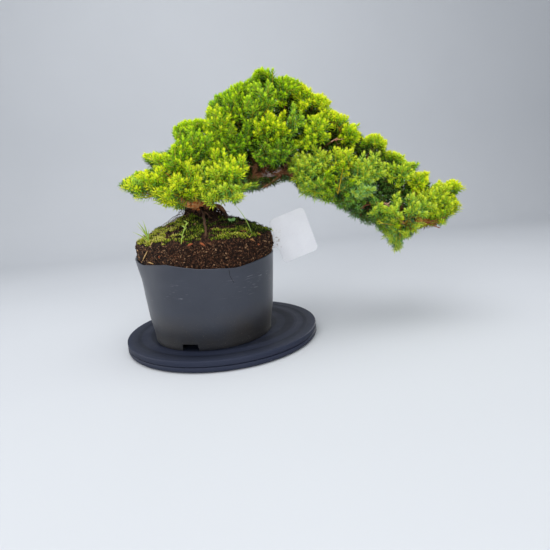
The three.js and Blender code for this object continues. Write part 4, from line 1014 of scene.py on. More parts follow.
# Turntable
def add_turntable():
    look = turntable_look()
    edge, hole, groove = DISC["radius"], PIN["radius"] + GAP, GLIDE["under"] - GAP
    base_top, recess = DISC["base_top"], PIN["under"] - GAP
    inner, outer = GLIDE["inner"] - GAP, GLIDE["outer"] + GAP
    base = [
        (0, 0), (edge - 4.6, 0), (edge - 3, 0.35), (edge - 1.5, 1.2), (edge - 0.5, 2.3), (edge, 3.6),
        (edge, 6.3), (edge - 0.3, 6.9), (edge - 1, base_top), (outer, base_top), (outer, groove),
        (inner, groove), (inner, base_top), (hole, base_top), (hole, recess), (0, recess),
    ]
    add_piece("disc_base", *lathe(base, DISC_SIDES, False), look, FOOT, "turntable_base", "turntable_plastic")
    top, under, roof = DISC["top"], DISC["top_under"], GLIDE["top"] + GAP
    inner, outer = GLIDE["inner"] - GLIDE["room"], GLIDE["outer"] + GLIDE["room"]
    head, seat = PIN["head"] + GAP, PIN["head_under"] - GAP
    disc = [
        (hole, under), (inner, under), (inner, roof), (outer, roof), (outer, under), (edge - 1, under),
        (edge - 0.3, under + 0.3), (edge, under + 0.9), (edge, top - 0.9), (edge - 0.25, top - 0.3),
        (edge - 0.9, top), (edge - 1.8, top), (edge - 2.6, top - 0.08), (113.4, top - 0.08),
        (112.6, top - 0.02), (111.4, top - 0.2), (101.2, top - 0.2), (100.2, top - 0.02), (99.4, top),
        (89.2, top), (88.2, top - 0.18), (71.2, top - 0.18), (70.2, top - 0.08), (head, top - 0.08),
        (head, seat), (hole, seat),
    ]
    add_piece("disc_top", *lathe(disc, DISC_SIDES, True), look, TOP, "turntable_top", "turntable_plastic")
    for node, material in (("turntable_ring", glide_look()), ("turntable_pivot", steel_look())):
        for place in bpy.data.objects[node].material_slots:
            place.material = material


# Pot
def rim_height(bearing):
    return read_table(RIM_CUT, (bearing + 180) % 360 - 180)


def wall_radius(height, bearing):
    rim = rim_height(bearing)
    plain = read_table([*POT_WALL, (rim, POT_RIM_RADIUS)], min(height, rim))
    share = min(max((height - WALL_WAVE["from"]) / (rim - WALL_WAVE["from"]), 0), 1)
    angle = math.radians(bearing * WALL_WAVE["count"] + WALL_WAVE["turn"])
    return plain + WALL_WAVE["size"] * share * math.sin(angle)


def bent_out(height, bearing):
    """How far the wall bends outwards near the rim at its left end."""
    aside = min(abs(bearing - BEND["bearing"]), 360 - abs(bearing - BEND["bearing"]))
    share = float(smooth(BEND["from"], rim_height(bearing), height))
    return BEND["out"] * math.exp(-((aside / BEND["wide"]) ** 2)) * share


def pot_ring(sides, radius_at, height_at):
    """Points round the pot's axis, with a radius and a height for each bearing."""
    points = []
    for k in range(sides):
        bearing = k * 360 / sides - 180
        points.append((*round_pot(radius_at(bearing), math.radians(bearing)), height_at(bearing)))
    return np.array(points)


def round_pot(radius, angle):
    """The x and y of a place round the pot's axis."""
    return POT["x"] + radius * math.cos(angle), POT["y"] + radius * math.sin(angle)


def at_height(height):
    """The same height above the pot's floor at every bearing."""
    return lambda bearing: POT["floor"] + height


def skin(rings, start, end):
    """Closed skin through rings, fanned to a start and an end point."""
    rows, sides = len(rings), len(rings[0])
    return np.vstack([*rings, [start], [end]]), tube_faces(rows, sides)


def cut_edge(bearing):
    """Small unevenness of the hand-cut rim, in millimetres."""
    broad = noise.noise(Vector((bearing * 0.12, 3, 0)))
    fine = noise.noise(Vector((bearing * 0.5, 7, 0)))
    return 0.35 * broad + 0.2 * fine


def bent_radius(height, bearing):
    return wall_radius(height, bearing) + bent_out(height, bearing)


def wall_ring(height, inset):
    """One ring of the pot's wall, moved inwards by the inset."""
    return pot_ring(POT_SIDES, lambda b: bent_radius(height, b) - inset, at_height(height))


def rim_ring(inset, drop):
    """One ring of the cut rim, below its edge by the drop."""

    def radius_at(bearing):
        return bent_radius(rim_height(bearing) - drop, bearing) - inset

    def height_at(bearing):
        return POT["floor"] + rim_height(bearing) + cut_edge(bearing) - drop

    return pot_ring(POT_SIDES, radius_at, height_at)


def pot_middle(height):
    return POT["x"], POT["y"], POT["floor"] + height


def add_pot():
    wall, round_edge = POT["wall"], POT["round_edge"]
    heights = [0, 0.6, 5, 9, 12, 14, 16, 18, 20, 22, 24, 26, 28.5, 31, 34, 38, 49, 60, 72, 80]
    outer = [wall_ring(h, round_edge if h == 0 else 0) for h in heights]
    rims = [(0, 8), (0, 0.35), (round_edge, 0), (wall - round_edge, 0), (wall, 0.35)]
    inner = [wall_ring(h, wall) for h in (80, 72, 60, 27, POT["floor_top"])]
    foot = [wall_ring(h, POT["foot_wall"]) for h in (POT["floor_under"], 0)]
    rings = [*foot, *outer, *(rim_ring(*row) for row in rims), *inner]
    verts, faces = skin(rings, pot_middle(POT["floor_under"]), pot_middle(POT["floor_top"]))
    piece = add_piece("pot_shell", verts, faces, pot_look(), TOP, "pot", "pot_plastic")
    drain = (POT["floor_under"] - 1, POT["floor_top"] + 1)
    for bearing in NOTCH["bearings"]:
        cut_radially(piece, bearing, NOTCH["width"], NOTCH["top_width"], (-1, NOTCH["height"]), NOTCH)
        cut_radially(piece, bearing, DRAIN_SLOT["width"], DRAIN_SLOT["width"], drain, DRAIN_SLOT)
    piece.data.set_sharp_from_angle(angle=math.radians(40))
    add_wall_root(Ground(verts, faces))


def add_wall_root(wall):
    """A hair root that clings to the outside of the pot."""
    heap = Heap()
    ends = [wall.seen_at(pixel)[0] for pixel in POT_ROOT_PX]
    for start, end in zip(ends, ends[1:]):
        heap.add(*tube([start, lerp(start, end, 0.5), end], [0.22, 0.2, 0.16], 5), (0.05, 0, 0, 1))
    look = crumb_look("wall_root", [(0, 30, 20, 14), (1, 60, 44, 34)])
    heap.piece("wall_root", look, slot="bark")


def cut_radially(piece, bearing, bottom, top, heights, reach):
    """Cuts a trapezium out of a piece, drawn out from the pot's axis."""
    low, high = (POT["floor"] + h for h in heights)
    verts = []
    for radius in (reach["inner"], reach["outer"]):
        corners = ((-bottom, low), (bottom, low), (top, high), (-top, high))
        verts += [(radius, width / 2, height) for width, height in corners]
    turn = Matrix.Translation((POT["x"], POT["y"], 0)) @ Matrix.Rotation(math.radians(bearing), 4, "Z")
    faces = [(3, 2, 1, 0), (4, 5, 6, 7), (0, 1, 5, 4), (1, 2, 6, 5), (2, 3, 7, 6), (3, 0, 4, 7)]
    mesh = bpy.data.meshes.new("cutter")
    mesh.from_pydata([(turn @ Vector(v)) * MM for v in verts], [], faces)
    cutter = bpy.data.objects.new("cutter", mesh)
    bpy.context.scene.collection.objects.link(cutter)
    modifier = piece.modifiers.new("cut", "BOOLEAN")
    modifier.operation, modifier.solver, modifier.object = "DIFFERENCE", "EXACT", cutter
    apply_modifiers(piece)
    bpy.data.objects.remove(cutter)


def apply_modifiers(piece):
    shape = bpy.data.meshes.new_from_object(piece.evaluated_get(bpy.context.evaluated_depsgraph_get()))
    piece.modifiers.clear()
    piece.data = shape


# Root ball
def ripple(x, y):
    """Low waves of the mound, in millimetres."""
    return 0.9 * math.sin(x * 0.21 + 1) * math.cos(y * 0.17) + 0.6 * math.sin(x * 0.43 - y * 0.37 + 2)


def mound_height(x, y):
    share = math.hypot(x - POT["x"], y - POT["y"]) / SOIL["cliff_radius"]
    away = (x - COLLAR["x"]) ** 2 + (y - COLLAR["y"]) ** 2
    collar = COLLAR["rise"] * math.exp(-away / COLLAR["reach"] ** 2)
    return SOIL["edge"] + SOIL["rise"] * (1 - min(share, 1) ** SOIL["steepness"]) + ripple(x, y) + collar


def cliff_wave(bearing):
    return 0.8 * math.sin(math.radians(bearing) * 12) + 0.5 * math.sin(math.radians(bearing) * 20 + 1)


def ball_radius(height, bearing):
    """Radius of the root ball inside the pot, a gap away from the wall."""
    return wall_radius(height, bearing) - POT["wall"] - GAP


def sunk_ring(height):
    return pot_ring(SOIL_SIDES, lambda b: ball_radius(height, b), at_height(height))


def cliff_ring(share):
    """A ring of the bare side above the rim: share is 0 at the rim and 1 at the top."""
    free = smooth(0, 0.3, share)

    def radius_at(bearing):
        plain = lerp(ball_radius(rim_height(bearing), bearing), SOIL["cliff_radius"] - 0.6, free)
        return plain + cliff_wave(bearing + 20 * share) * free * 0.8

    def height_at(bearing):
        return lerp(POT["floor"] + rim_height(bearing) - 1, SOIL["cliff_top"], share)

    return pot_ring(SOIL_SIDES, radius_at, height_at)


def mound_ring(radius):
    """A ring of the mound on top, rounded off at its edge."""
    ring = pot_ring(SOIL_SIDES, lambda b: radius, lambda b: 0)
    drop = 1.4 * smooth(SOIL["cliff_radius"] - 6, SOIL["cliff_radius"], radius)
    ring[:, 2] = [mound_height(x, y) - drop for x, y, _ in ring]
    return ring


def add_soil():
    rings = [sunk_ring(height) for height in (POT["floor_top"] + GAP, 27, 80)]
    rings += [cliff_ring(step / 14) for step in range(15)]
    rings += [mound_ring(radius) for radius in (82.5, 81, 79, 76.5, *np.linspace(74, 3, 34))]
    peak = (POT["x"], POT["y"], mound_height(POT["x"], POT["y"]))
    verts, faces = skin(rings, pot_middle(POT["floor_top"] + GAP), peak)
    axis = np.array([POT["x"], POT["y"]])
    for i, v in enumerate(verts):
        if v[2] < SOIL["smooth_below"]:
            continue
        lump = noise.noise(Vector(v) * 0.22) * 1.3 + noise.noise(Vector(v) * 0.6) * 0.8
        if v[2] < SOIL["cliff_top"] + 1:
            out = unit(v[:2] - axis)
            verts[i, :2] -= out * max(lump, 0) * smooth(SOIL["smooth_below"], SOIL["smooth_below"] + 3, v[2])
        else:
            verts[i, 2] += lump * 0.8
    add_piece("root_ball", verts, faces, soil_look(), TOP, "soil", "soil")
    return Ground(verts, faces)


class Ground:
    """The root ball's surface, to set small things on."""

    def __init__(self, verts, faces):
        self.tree = BVHTree.FromPolygons([tuple(v) for v in verts], [tuple(int(i) for i in f) for f in faces])

    def hit(self, start, way):
        """Where a line meets the surface and how the surface faces there, or twice None."""
        point, normal, _, _ = self.tree.ray_cast(start, way)
        return (None, None) if point is None else (np.array(point), np.array(normal))

    def below(self, x, y):
        return self.hit(Vector((x, y, 220)), Vector((0, 0, -1)))

    def beside(self, bearing, height):
        out = Vector((math.cos(math.radians(bearing)), math.sin(math.radians(bearing)), 0))
        return self.hit(Vector((POT["x"], POT["y"], height)) + out * 120, -out)

    def seen_at(self, pixel):
        return self.hit(Vector(CAMERA_PLACE), Vector(unit(from_photo(pixel, 0) - CAMERA_PLACE)))


def crumb(heap, draw, point, size, tone):
    """One small angular grain of peat."""
    stretch = np.array([draw.uniform(0.6, 1.5), draw.uniform(0.5, 1), draw.uniform(0.5, 1)]) * size
    angle = draw.uniform(0, 6.28)
    turn = np.array(Matrix.Rotation(angle, 3, Vector(scatter(draw, 1))))
    wobble = np.array([[draw.uniform(0.8, 1.2)] for _ in range(6)])
    heap.add((OCTAHEDRON * wobble * stretch) @ turn.T + point, OCTAHEDRON_FACES, (tone, 0, 0, 1))


def add_peat(ground):
    """Grains over the cliff, its edge and the mound, with pale fibres between them."""
    draw = rng("peat")
    heap, fibres = Heap(), Heap()
    highest = SOIL["cliff_top"] + 3
    for number in range(CRUMBS["all"]):
        if number < CRUMBS["on_cliff"]:
            bearing = draw.uniform(-180, 180)
            lowest = POT["floor"] + rim_height(bearing) + 0.8
            point, normal = ground.beside(bearing, lowest + (highest - lowest) * draw.random() ** 0.9)
        else:
            reach = (SOIL["cliff_radius"] - 1) * math.sqrt(draw.uniform(0.1, 1))
            angle = draw.uniform(0, 2 * math.pi)
            point, normal = ground.below(*round_pot(reach, angle))
        if point is None:
            continue
        size = 0.4 + 1.1 * draw.random() ** 2.4
        tone = draw.uniform(0.85, 1) if draw.random() < 0.035 else draw.random() ** 1.6
        crumb(heap, draw, point + normal * size * 0.2, size, tone)
        if number % 8 == 0:
            along = unit(np.cross(normal, scatter(draw, 1)))
            length = draw.uniform(2, 7)
            bow = point + normal * draw.uniform(0.3, 0.9) + along * length * 0.5
            end = point + along * length + normal * 0.1
            line = quadratic(point - normal * 0.2, bow, end, [0, 0.33, 0.66, 1])
            fibres.add(*tube(line, draw.uniform(0.08, 0.15), 3), (draw.random(), 0, 0, 1))
    stops = [(0, 16, 10, 7), (0.4, 60, 38, 26), (0.8, 126, 88, 62), (1, 184, 148, 112)]
    heap.piece("peat_crumbs", crumb_look("peat_crumbs", stops), slot="soil", flat=True)
    pale = [(0, 60, 40, 30), (0.6, 110, 82, 60), (1, 176, 148, 116)]
    fibres.piece("peat_fibres", crumb_look("peat_fibres", pale), slot="soil")


def moss_at(x, y):
    """Tone and cover of the moss at a place on the mound."""
    if any(((x - bx) / rx) ** 2 + ((y - by) / ry) ** 2 < 1 for bx, by, rx, ry in BARE_MOSS):
        return 0.3, 0.12
    tone, weight, cover = 0.0, 1e-6, 0.0
    for mx, my, rx, ry, patch_tone, patch_cover in MOSS:
        nearness = 1 - ((x - mx) / rx) ** 2 - ((y - my) / ry) ** 2
        if nearness > 0:
            tone, weight = tone + patch_tone * nearness, weight + nearness
            cover = max(cover, patch_cover * min(1, nearness * 3))
    return tone / weight, cover


def add_moss(ground):
    """Cushions of moss, each a low dome set with pointed leaflets."""
    draw = rng("moss")
    heap = Heap()
    for _ in range(CUSHIONS):
        reach = (SOIL["cliff_radius"] - 2) * math.sqrt(draw.random())
        angle = draw.uniform(0, 2 * math.pi)
        x, y = round_pot(reach, angle)
        tone, cover = moss_at(x, y)
        if draw.random() > cover:
            continue
        point, normal = ground.below(x, y)
        if point is None or normal[2] < 0.4:
            continue
        patch = noise.noise(Vector((x, y, 0)) * 0.11)
        if patch < -0.2 and draw.random() < 0.85:
            continue
        dome = draw.uniform(1.6, 4.4)
        shade = tone + 0.35 * patch + draw.uniform(-0.25, 0.2)
        leaflets = int(6 + dome * 2.4)
        for number in range(leaflets):
            turn, out = number * GOLDEN_TURN + draw.random(), math.sqrt((number + 0.5) / leaflets)
            foot = point + np.array([dome * out * math.cos(turn), dome * out * math.sin(turn), 0])
            foot[2] += dome * 0.55 * (1 - out * out) - 0.4
            way = unit([math.cos(turn) * out * 0.9, math.sin(turn) * out * 0.9, 1])
            length = draw.uniform(1.6, 3.2)
            leaflet(heap, draw, foot, way, length, np.clip(shade + draw.uniform(-0.25, 0.25), 0, 1))
    stops = [(0, 16, 18, 6), (0.2, 44, 56, 14), (0.45, 106, 138, 28), (0.7, 196, 198, 52), (1, 250, 240, 150)]
    heap.piece("moss", crumb_look("moss", stops), slot="soil", flat=True)


def leaflet(heap, draw, foot, way, length, tone):
    """A pointed leaflet of moss, dark at its foot."""
    across, above = side_frame(way)
    base = draw.uniform(0.4, 0.65)
    turn = draw.uniform(0, 2)
    angles = [turn + k * 2.094 for k in range(3)]
    ring = [foot + (across * math.cos(angle) + above * math.sin(angle)) * base for angle in angles]
    tints = [(tone * lerp(0.2, 0.6, tone), 0, 0, 1)] * 3 + [(tone, 0, 0, 1)]
    heap.add([*ring, foot + way * length], LEAFLET_FACES, tints)


def root_hair(heap, draw, start, bend, end, thick, thin, tone, steps=6, crooked=1.2):
    """A thin, crooked root or twig along a curve."""
    line = quadratic(np.asarray(start), np.asarray(bend), np.asarray(end), np.linspace(0, 1, steps))
    sway = (thick + 0.4) * crooked
    line[1:-1] += np.array([[draw.uniform(-sway, sway) for _ in range(3)] for _ in range(steps - 2)])
    heap.add(*tube(line, np.linspace(thick, thin, steps), 5), (tone, 0, 0, 1))


def add_roots(ground):
    """The mat of dark roots under the stump, loose hairs beside it and the pale root in front."""
    draw = rng("roots")
    heap = Heap()
    for number in range(HAIRS["mat"]):
        angle = number * GOLDEN_TURN
        way = np.array([math.cos(angle), math.sin(angle), 0])
        high = draw.uniform(156, 177)
        inner = 13 if high < 168 else 9
        start = np.array([*STUMP[0][:2], high]) + way * inner
        reach = draw.uniform(2, 10) if way[0] < 0.2 else draw.uniform(8, 26)
        aside = np.array([-way[1], way[0], 0]) * draw.uniform(-9, 9)
        foot, _ = ground.below(*(start + way * reach + aside)[:2])
        if foot is None:
            continue
        bend = start + way * reach * draw.uniform(0.5, 1.3) + np.array([0, 0, draw.uniform(-5, 2)])
        thick = draw.uniform(0.35, 1.3)
        tone = 0.7 * draw.random() ** 1.5
        root_hair(heap, draw, start - way * 3, bend, foot - [0, 0, 1], thick, thick * 0.5, tone)
    for _ in range(HAIRS["loose"]):
        start = np.array([draw.uniform(-34, -24), draw.uniform(-36, -16), draw.uniform(160, 173)])
        foot, _ = ground.below(draw.uniform(-68, -38), draw.uniform(-48, -14))
        bend = lerp(start, foot, 0.5) + np.array([draw.uniform(-15, 2), 0, draw.uniform(-3, 17)])
        thick, tone = draw.uniform(0.2, 0.38), draw.uniform(0.4, 1)
        root_hair(heap, draw, start + [6, 2, -2], bend, foot - [0, 0, 0.5], thick, 0.15, tone, 11, 2.2)
    for _ in range(HAIRS["arch"]):
        centre, _ = branch_points(WOOD_ROOT_ARCH, draw.uniform(0.15, 0.95))
        way = unit([draw.uniform(-0.6, 1), draw.uniform(-1, 0.6), draw.uniform(-0.8, 0.4)])
        end = centre[0] + way * draw.uniform(5, 10)
        root_hair(heap, draw, centre[0], lerp(centre[0], end, 0.6) + [0, 0, 1.5], end, 0.3, 0.12, 0.1, 5)
    for _ in range(HAIRS["right"]):
        x, y = draw.uniform(14, 62), draw.uniform(-44, -6)
        start, _ = ground.below(x, y)
        foot, _ = ground.below(x + draw.uniform(-12, 12), y + draw.uniform(-8, 8))
        if start is None or foot is None:
            continue
        bend = lerp(start, foot, 0.5) + np.array([0, 0, draw.uniform(3, 9)])
        thick, tone = draw.uniform(0.2, 0.5), draw.uniform(0.1, 0.5)
        root_hair(heap, draw, start - [0, 0, 1], bend, foot - [0, 0, 1], thick, 0.2, tone)
    foot, _ = ground.seen_at(FRONT_ROOT_PX[1])
    head = from_photo(FRONT_ROOT_PX[0], FRONT_ROOT_DEPTH)
    bend = lerp(head, foot, 0.45) + np.array([1, -4, 2])
    root_hair(heap, draw, head, bend, foot - [0, 0, 2], 1.9, 1.2, 0.58, 9, 0.4)
    stops = [(0, 24, 16, 13), (0.4, 62, 42, 32), (0.8, 124, 92, 70), (1, 190, 160, 126)]
    heap.piece("fine_roots", crumb_look("fine_roots", stops), slot="bark")


def add_litter(ground):
    """Straw, flakes of bark and seed scales lying on the root ball."""
    draw = rng("litter")
    heap = Heap()
    pairs = []
    for a, b, thick, tone in LITTER_PX:
        start, normal = ground.seen_at(a)
        end, _ = ground.seen_at(b)
        if start is not None and end is not None:
            pairs.append((start + normal * thick, end + normal * thick, thick, tone))
    for _ in range(STRAWS):
        reach, angle = draw.uniform(40, 80), draw.uniform(-0.4, 3.6)
        x, y = round_pot(reach, angle)
        start, normal = ground.below(x, y)
        length, turn = draw.uniform(2, 8), draw.uniform(0, 6.28)
        end, _ = ground.below(x + length * math.cos(turn), y + length * math.sin(turn))
        if start is not None and end is not None:
            thick = draw.uniform(0.4, 1)
            pairs.append((start + normal * thick * 0.7, end + [0, 0, thick * 0.7], thick, draw.random()))
    for start, end, thick, tone in pairs:
        middle = lerp(start, end, 0.5) + np.array([0, 0, 0.5])
        line = quadratic(start, middle, end, np.linspace(0, 1, 6))
        taper = thick * np.array([0.35, 0.8, 1, 0.95, 0.7, 0.3])
        verts, faces = tube(line, taper, 6)
        heap.add(verts, faces, (tone, 0, 0, 1))
    stops = [(0, 92, 50, 36), (0.3, 158, 88, 54), (0.6, 176, 132, 84), (1, 216, 180, 120)]
    heap.piece("litter", crumb_look("litter", stops), slot="soil")


# Wood
def all_wood():
    """Every branch that is fused into the wood."""
    return {"stump": STUMP, **WOOD, **DEAD_TWIGS, **ROOTS}


def add_trunk():
    """All wood fused into one skin, with a bark of fibres."""
    heap = Heap()
    centres = []
    for name, rows in all_wood().items():
        length = sum(math.dist(a[:3], b[:3]) for a, b in zip(rows, rows[1:]))
        count = max(4, int(length / 2.5))
        points, radii = branch_points(rows, np.linspace(0, 1, count))
        heap.add(*tube(points, radii, 14, round_ends=True), (0, 0, 0, 1))
        centres += [(point, radius, name) for point, radius in zip(points, radii)]
    piece = heap.piece("wood", bark_look(), body=TOP, node="trunk", slot="bark")
    modifier = piece.modifiers.new("fuse", "REMESH")
    modifier.mode, modifier.voxel_size = "VOXEL", WOOD_VOXEL * MM
    apply_modifiers(piece)
    roughen_bark(piece, centres)


def roughen_bark(piece, centres):
    """Moves the skin along fibres that follow each branch, and tints red and bleached wood."""
    tree = nearest_tree([point for point, _, _ in centres])
    mesh = piece.data
    mesh.shade_smooth()
    tints = []
    for vertex in mesh.vertices:
        here = vertex.co / MM
        _, index, _ = tree.find(here)
        centre, radius, name = centres[index]
        out = here - Vector(centre)
        away = out.length
        around = out.normalized()
        fibre = noise.noise(around * 3.2 * 1.6 + here * 0.03)
        flake = noise.noise(here * 0.35)
        depth = min(0.35, 0.09 * radius) * (1.4 * fibre + 0.6 * flake)
        if away > 0.2:
            vertex.co += around * depth * MM
        orange = name in ("limb", "limb_rise") or here.x > WOOD_TONES["orange_right_of"]
        red = 1.0 if name == "limb" else (0.35 if orange else 0.1)
        low = here.x < WOOD_TONES["dark_left_of"]
        dark = 1 - smooth(*WOOD_TONES["dark_top"], here.z) if low else 0.0
        red *= 1 - dark
        bleached = smooth(*WOOD_TONES["bleached_from"], here.x)
        bleached *= 1 - smooth(*WOOD_TONES["bleached_to"], here.x)
        bleached *= here.z > WOOD_TONES["bleached_above"] and name == "leader"
        tints += [red, float(bleached), float(dark), 1]
    layer = mesh.attributes.new("tint", "FLOAT_COLOR", "POINT")
    layer.data.foreach_set("color", tints)


def wood_tree(steps):
    """Points along the middle of every branch, to find the nearest one."""
    places = np.linspace(0, 1, steps)
    return nearest_tree(np.vstack([branch_points(rows, places)[0] for rows in WOOD.values()]))


def add_dead_twigs():
    """Bare brown twigs inside the foliage, each with a fork or two."""
    draw = rng("dead-twigs")
    heap = Heap()
    for branch, first, last, count, lean in DEAD_TWIG_ZONES:
        for _ in range(count):
            centre, radius = branch_points(WOOD[branch], draw.uniform(first, last))
            way = unit(np.array(lean) + [draw.gauss(0, 0.5), draw.gauss(0, 0.35), draw.gauss(0, 0.5)])
            length = draw.uniform(9, 22)
            end = centre[0] + way * (radius[0] + length)
            bend = lerp(centre[0], end, 0.5) + [draw.uniform(-3, 3), 0, draw.uniform(-3, 3)]
            tone = draw.uniform(0.1, 0.9)
            start = centre[0] + way * radius[0] * 0.6
            root_hair(heap, draw, start, bend, end, draw.uniform(0.4, 0.8), 0.2, tone, 6)
            for _ in range(draw.randint(1, 3)):
                fork = lerp(centre[0], end, draw.uniform(0.5, 0.85))
                tip = fork + unit(way + scatter(draw, 0.6)) * draw.uniform(4, 9)
                root_hair(heap, draw, fork, lerp(fork, tip, 0.5), tip, 0.35, 0.15, tone, 4)
    core = wood_tree(24)
    for start, end, depth, thick, tone in SHOWN_TWIGS_PX:
        ends = from_photo(start, depth), from_photo(end, depth)
        root_hair(heap, draw, ends[0], lerp(*ends, 0.5), ends[1], thick, thick * 0.5, tone, 7, 0.4)
        joint, _, _ = core.find(Vector(ends[0]))
        middle = lerp(np.array(joint), ends[0], 0.5)
        root_hair(heap, draw, joint, middle, ends[0], thick * 1.2, thick * 0.95, tone * 0.5, 5, 0.2)
    stops = [(0, 64, 38, 28), (0.4, 110, 66, 46), (0.8, 170, 104, 66), (1, 230, 190, 164)]
    heap.piece("dead_twigs", crumb_look("dead_twigs", stops), slot="bark")


# Foliage
class Shoot:
    """A leafy stem: a quadratic curve with its thickness and the tones of its needles."""

    def __init__(self, start, bend, end, radii, leafy, spray, fresh, blue):
        self.start, self.bend, self.end = (np.asarray(p, float) for p in (start, bend, end))
        self.radii, self.leafy, self.spray, self.fresh, self.blue = radii, leafy, spray, fresh, blue
        self.broad, self.joint, self.tone = 1.0, None, None
        pixel = to_photo(self.end)
        self.loose = float(hangs_free(pixel, inside_distance(pixel))[0])
        line = self.points(np.linspace(0, 1, 9))
        self.length = float(np.linalg.norm(np.diff(line, axis=0), axis=1).sum())

    def points(self, places):
        return quadratic(self.start, self.bend, self.end, places)

    def point(self, place):
        return self.points([place])[0]

    def way(self, place):
        return unit(self.point(min(place + 0.02, 1)) - self.point(max(place - 0.02, 0)))


class Canopy:
    """Grows the shoots, keeps their tips apart and inside the outline."""

    def __init__(self):
        self.shoots = []
        self.tips = {}

    def cell(self, point):
        return tuple(int(v // TIP_CELL) for v in point)

    def crowded(self, point, room):
        cx, cy, cz = self.cell(point)
        for i in (-1, 0, 1):
            for j in (-1, 0, 1):
                for k in (-1, 0, 1):
                    for other in self.tips.get((cx + i, cy + j, cz + k), ()):
                        if np.linalg.norm(other - point) < room:
                            return True
        return False

    def keep(self, shoot):
        self.shoots.append(shoot)
        self.tips.setdefault(self.cell(shoot.end), []).append(shoot.end)
        return shoot


def shown_places():
    """Round places that no shoot may hide: bare wood and the middle of each young stem in full view."""
    rounds = list(WOOD_SHOWS_PX)
    for start, end, *_ in SHOWN_STEMS_PX:
        rounds += [(*lerp(np.array(start), np.array(end), place), 1.1) for place in (0.2, 0.4, 0.6, 0.8)]
    return np.array(rounds, float)


SHOWN = shown_places()


def hides_wood(points):
    """Whether any of some points hides a place that is to stay in view."""
    front = points[points[:, 1] < -24]
    if not len(front):
        return False
    pixels = to_photo(front)
    away = np.linalg.norm(pixels[:, None] - SHOWN[None, :, :2], axis=2)
    return bool((away < SHOWN[None, :, 2]).any())


def fits(shoot):
    """Whether a shoot with its needles stays inside the outline and clear of the places of bare wood."""
    line = shoot.points([0.4, 0.6, 0.8, 1])
    inside = inside_distance(to_photo(line)).min() > FILL["margin"] and (line.max(0) < REACH).all()
    return inside and not hides_wood(line)


def side_frame(along):
    """Two directions square to a third and to each other."""
    across = unit(np.cross(along, [0.02, 0.03, 1]))
    return across, np.cross(across, along)


def side_shoot(start, bend, end, leafy, parent, fresh=1):
    """A thin shoot with the tones of the one that bears it."""
    radii = (STEM["side"], STEM["tip"])
    return Shoot(start, bend, end, radii, leafy, parent.spray, parent.fresh * fresh, parent.blue)


def grow_side(canopy, parent, place, angle, reach, room):
    """Grows a shoot from the side of another, shorter where the full length doesn't fit."""
    start = parent.point(place)
    along = parent.way(place)
    across, above = side_frame(along)
    outwards = across * math.cos(angle) + above * math.sin(angle)
    for share in (1, 0.8, 0.62):
        length = reach * share
        bend = start + unit(along + outwards * STEM["lean"] * 1.5) * length * 0.5
        end = start + unit(along + outwards * STEM["lean"]) * length + np.array([0, 0, STEM["lift"] * length])
        shoot = side_shoot(start, bend, end, LEAFY["side"], parent)
        if fits(shoot) and not canopy.crowded(end, room):
            return canopy.keep(shoot)
    return None


def grow_canopy():
    """The stems of every spray with their side shoots."""
    canopy = Canopy()
    for number, (_, branch, share, *_) in enumerate(SPRAYS):
        origin = branch_points(WOOD[branch], share)[0][0]
        stems = []
        for order, (tip, fresh, blue) in enumerate(SPRAY_TIPS[number]):
            start = origin if order == 0 else stems[0].point(FORK_PLACE)
            end = tip - unit(tip - start) * STEM["point"]
            bend = lerp(start, end, 0.55) - np.array([0, 0, 0.12 * math.hypot(*(end - start)[:2])])
            radii = (STEM["base"] if order == 0 else STEM["fork"], STEM["tip"])
            stems.append(canopy.keep(Shoot(start, bend, end, radii, LEAFY["stem"], number, fresh, blue)))
    stems = list(canopy.shoots)
    for row, stem in enumerate(stems):
        draw = rng(f"sides-{row}")
        count = max(SIDES["least"], int(stem.length / SIDES["each"]))
        sides = []
        for i in range(count):
            place = lerp(SIDES["from"], SIDES["to"], (i + 0.5) / count)
            angle = i * GOLDEN_TURN + draw.uniform(-SIDES["turn"], SIDES["turn"])
            reach = (1 - place) * stem.length * SIDES["share"] + draw.uniform(*SIDES["length"])
            side = grow_side(canopy, stem, place, angle, reach, SIDES["room"])
            if side:
                sides.append(side)
        for side in sides:
            if side.length < TWIGS["least_side"]:
                continue
            for _ in range(int(side.length / TWIGS["each"])):
                place = lerp(TWIGS["from"], TWIGS["to"], draw.random())
                angle = draw.uniform(0, 2 * math.pi)
                grow_side(canopy, side, place, angle, draw.uniform(*TWIGS["length"]), TWIGS["room"])
    grow_shown(canopy)
    return canopy


def grow_shown(canopy):
    """The young stems in full view, each joined to the nearest stem."""
    tree, nodes = skeleton(canopy)
    for start, end, depth, thick, tone in SHOWN_STEMS_PX:
        foot, tip = from_photo(start, depth), from_photo(end, depth - 2)
        joint, _, parent = nodes[tree.find(Vector(foot))[1]]
        bend = lerp(foot, tip, 0.5) + [0, 0, 0.8]
        radii = (thick * 0.75, thick * 0.35)
        shoot = Shoot(foot, bend, tip, radii, LEAFY["shown"], parent.spray, SHOWN_FRESH, 0)
        shoot.joint, shoot.tone = joint, tone
        canopy.keep(shoot)


def depth_at(pixels, deep, side):
    """How far each clump reaches forward or back behind each pixel, and how deep the valleys are."""
    front = side == "front"
    tips = np.array([tip for tips in SPRAY_TIPS for tip, _, _ in tips if (tip[1] < -14) == front])
    gaps = ((pixels[:, None] - to_photo(tips)[None]) ** 2).sum(2)
    weights = 1 / (gaps + CLUMP["soft"]) ** 1.5
    mean = (weights * tips[:, 1]).sum(1) / weights.sum(1)
    bulge = CLUMP["curve"] * np.minimum(gaps.min(1), CLUMP["reach"] ** 2)
    rounded = np.sqrt(np.clip(deep / CLUMP["rounded"], 0, 1))
    depth = lerp(CLUMP[side], mean, rounded) + (bulge if front else -bulge) * rounded
    # painted shade: the deeper a valley between clumps, the darker its needles are painted
    valley = bulge / (CLUMP["curve"] * CLUMP["reach"] ** 2) * smooth(3, CLUMP["rounded"], deep)
    return depth, valley


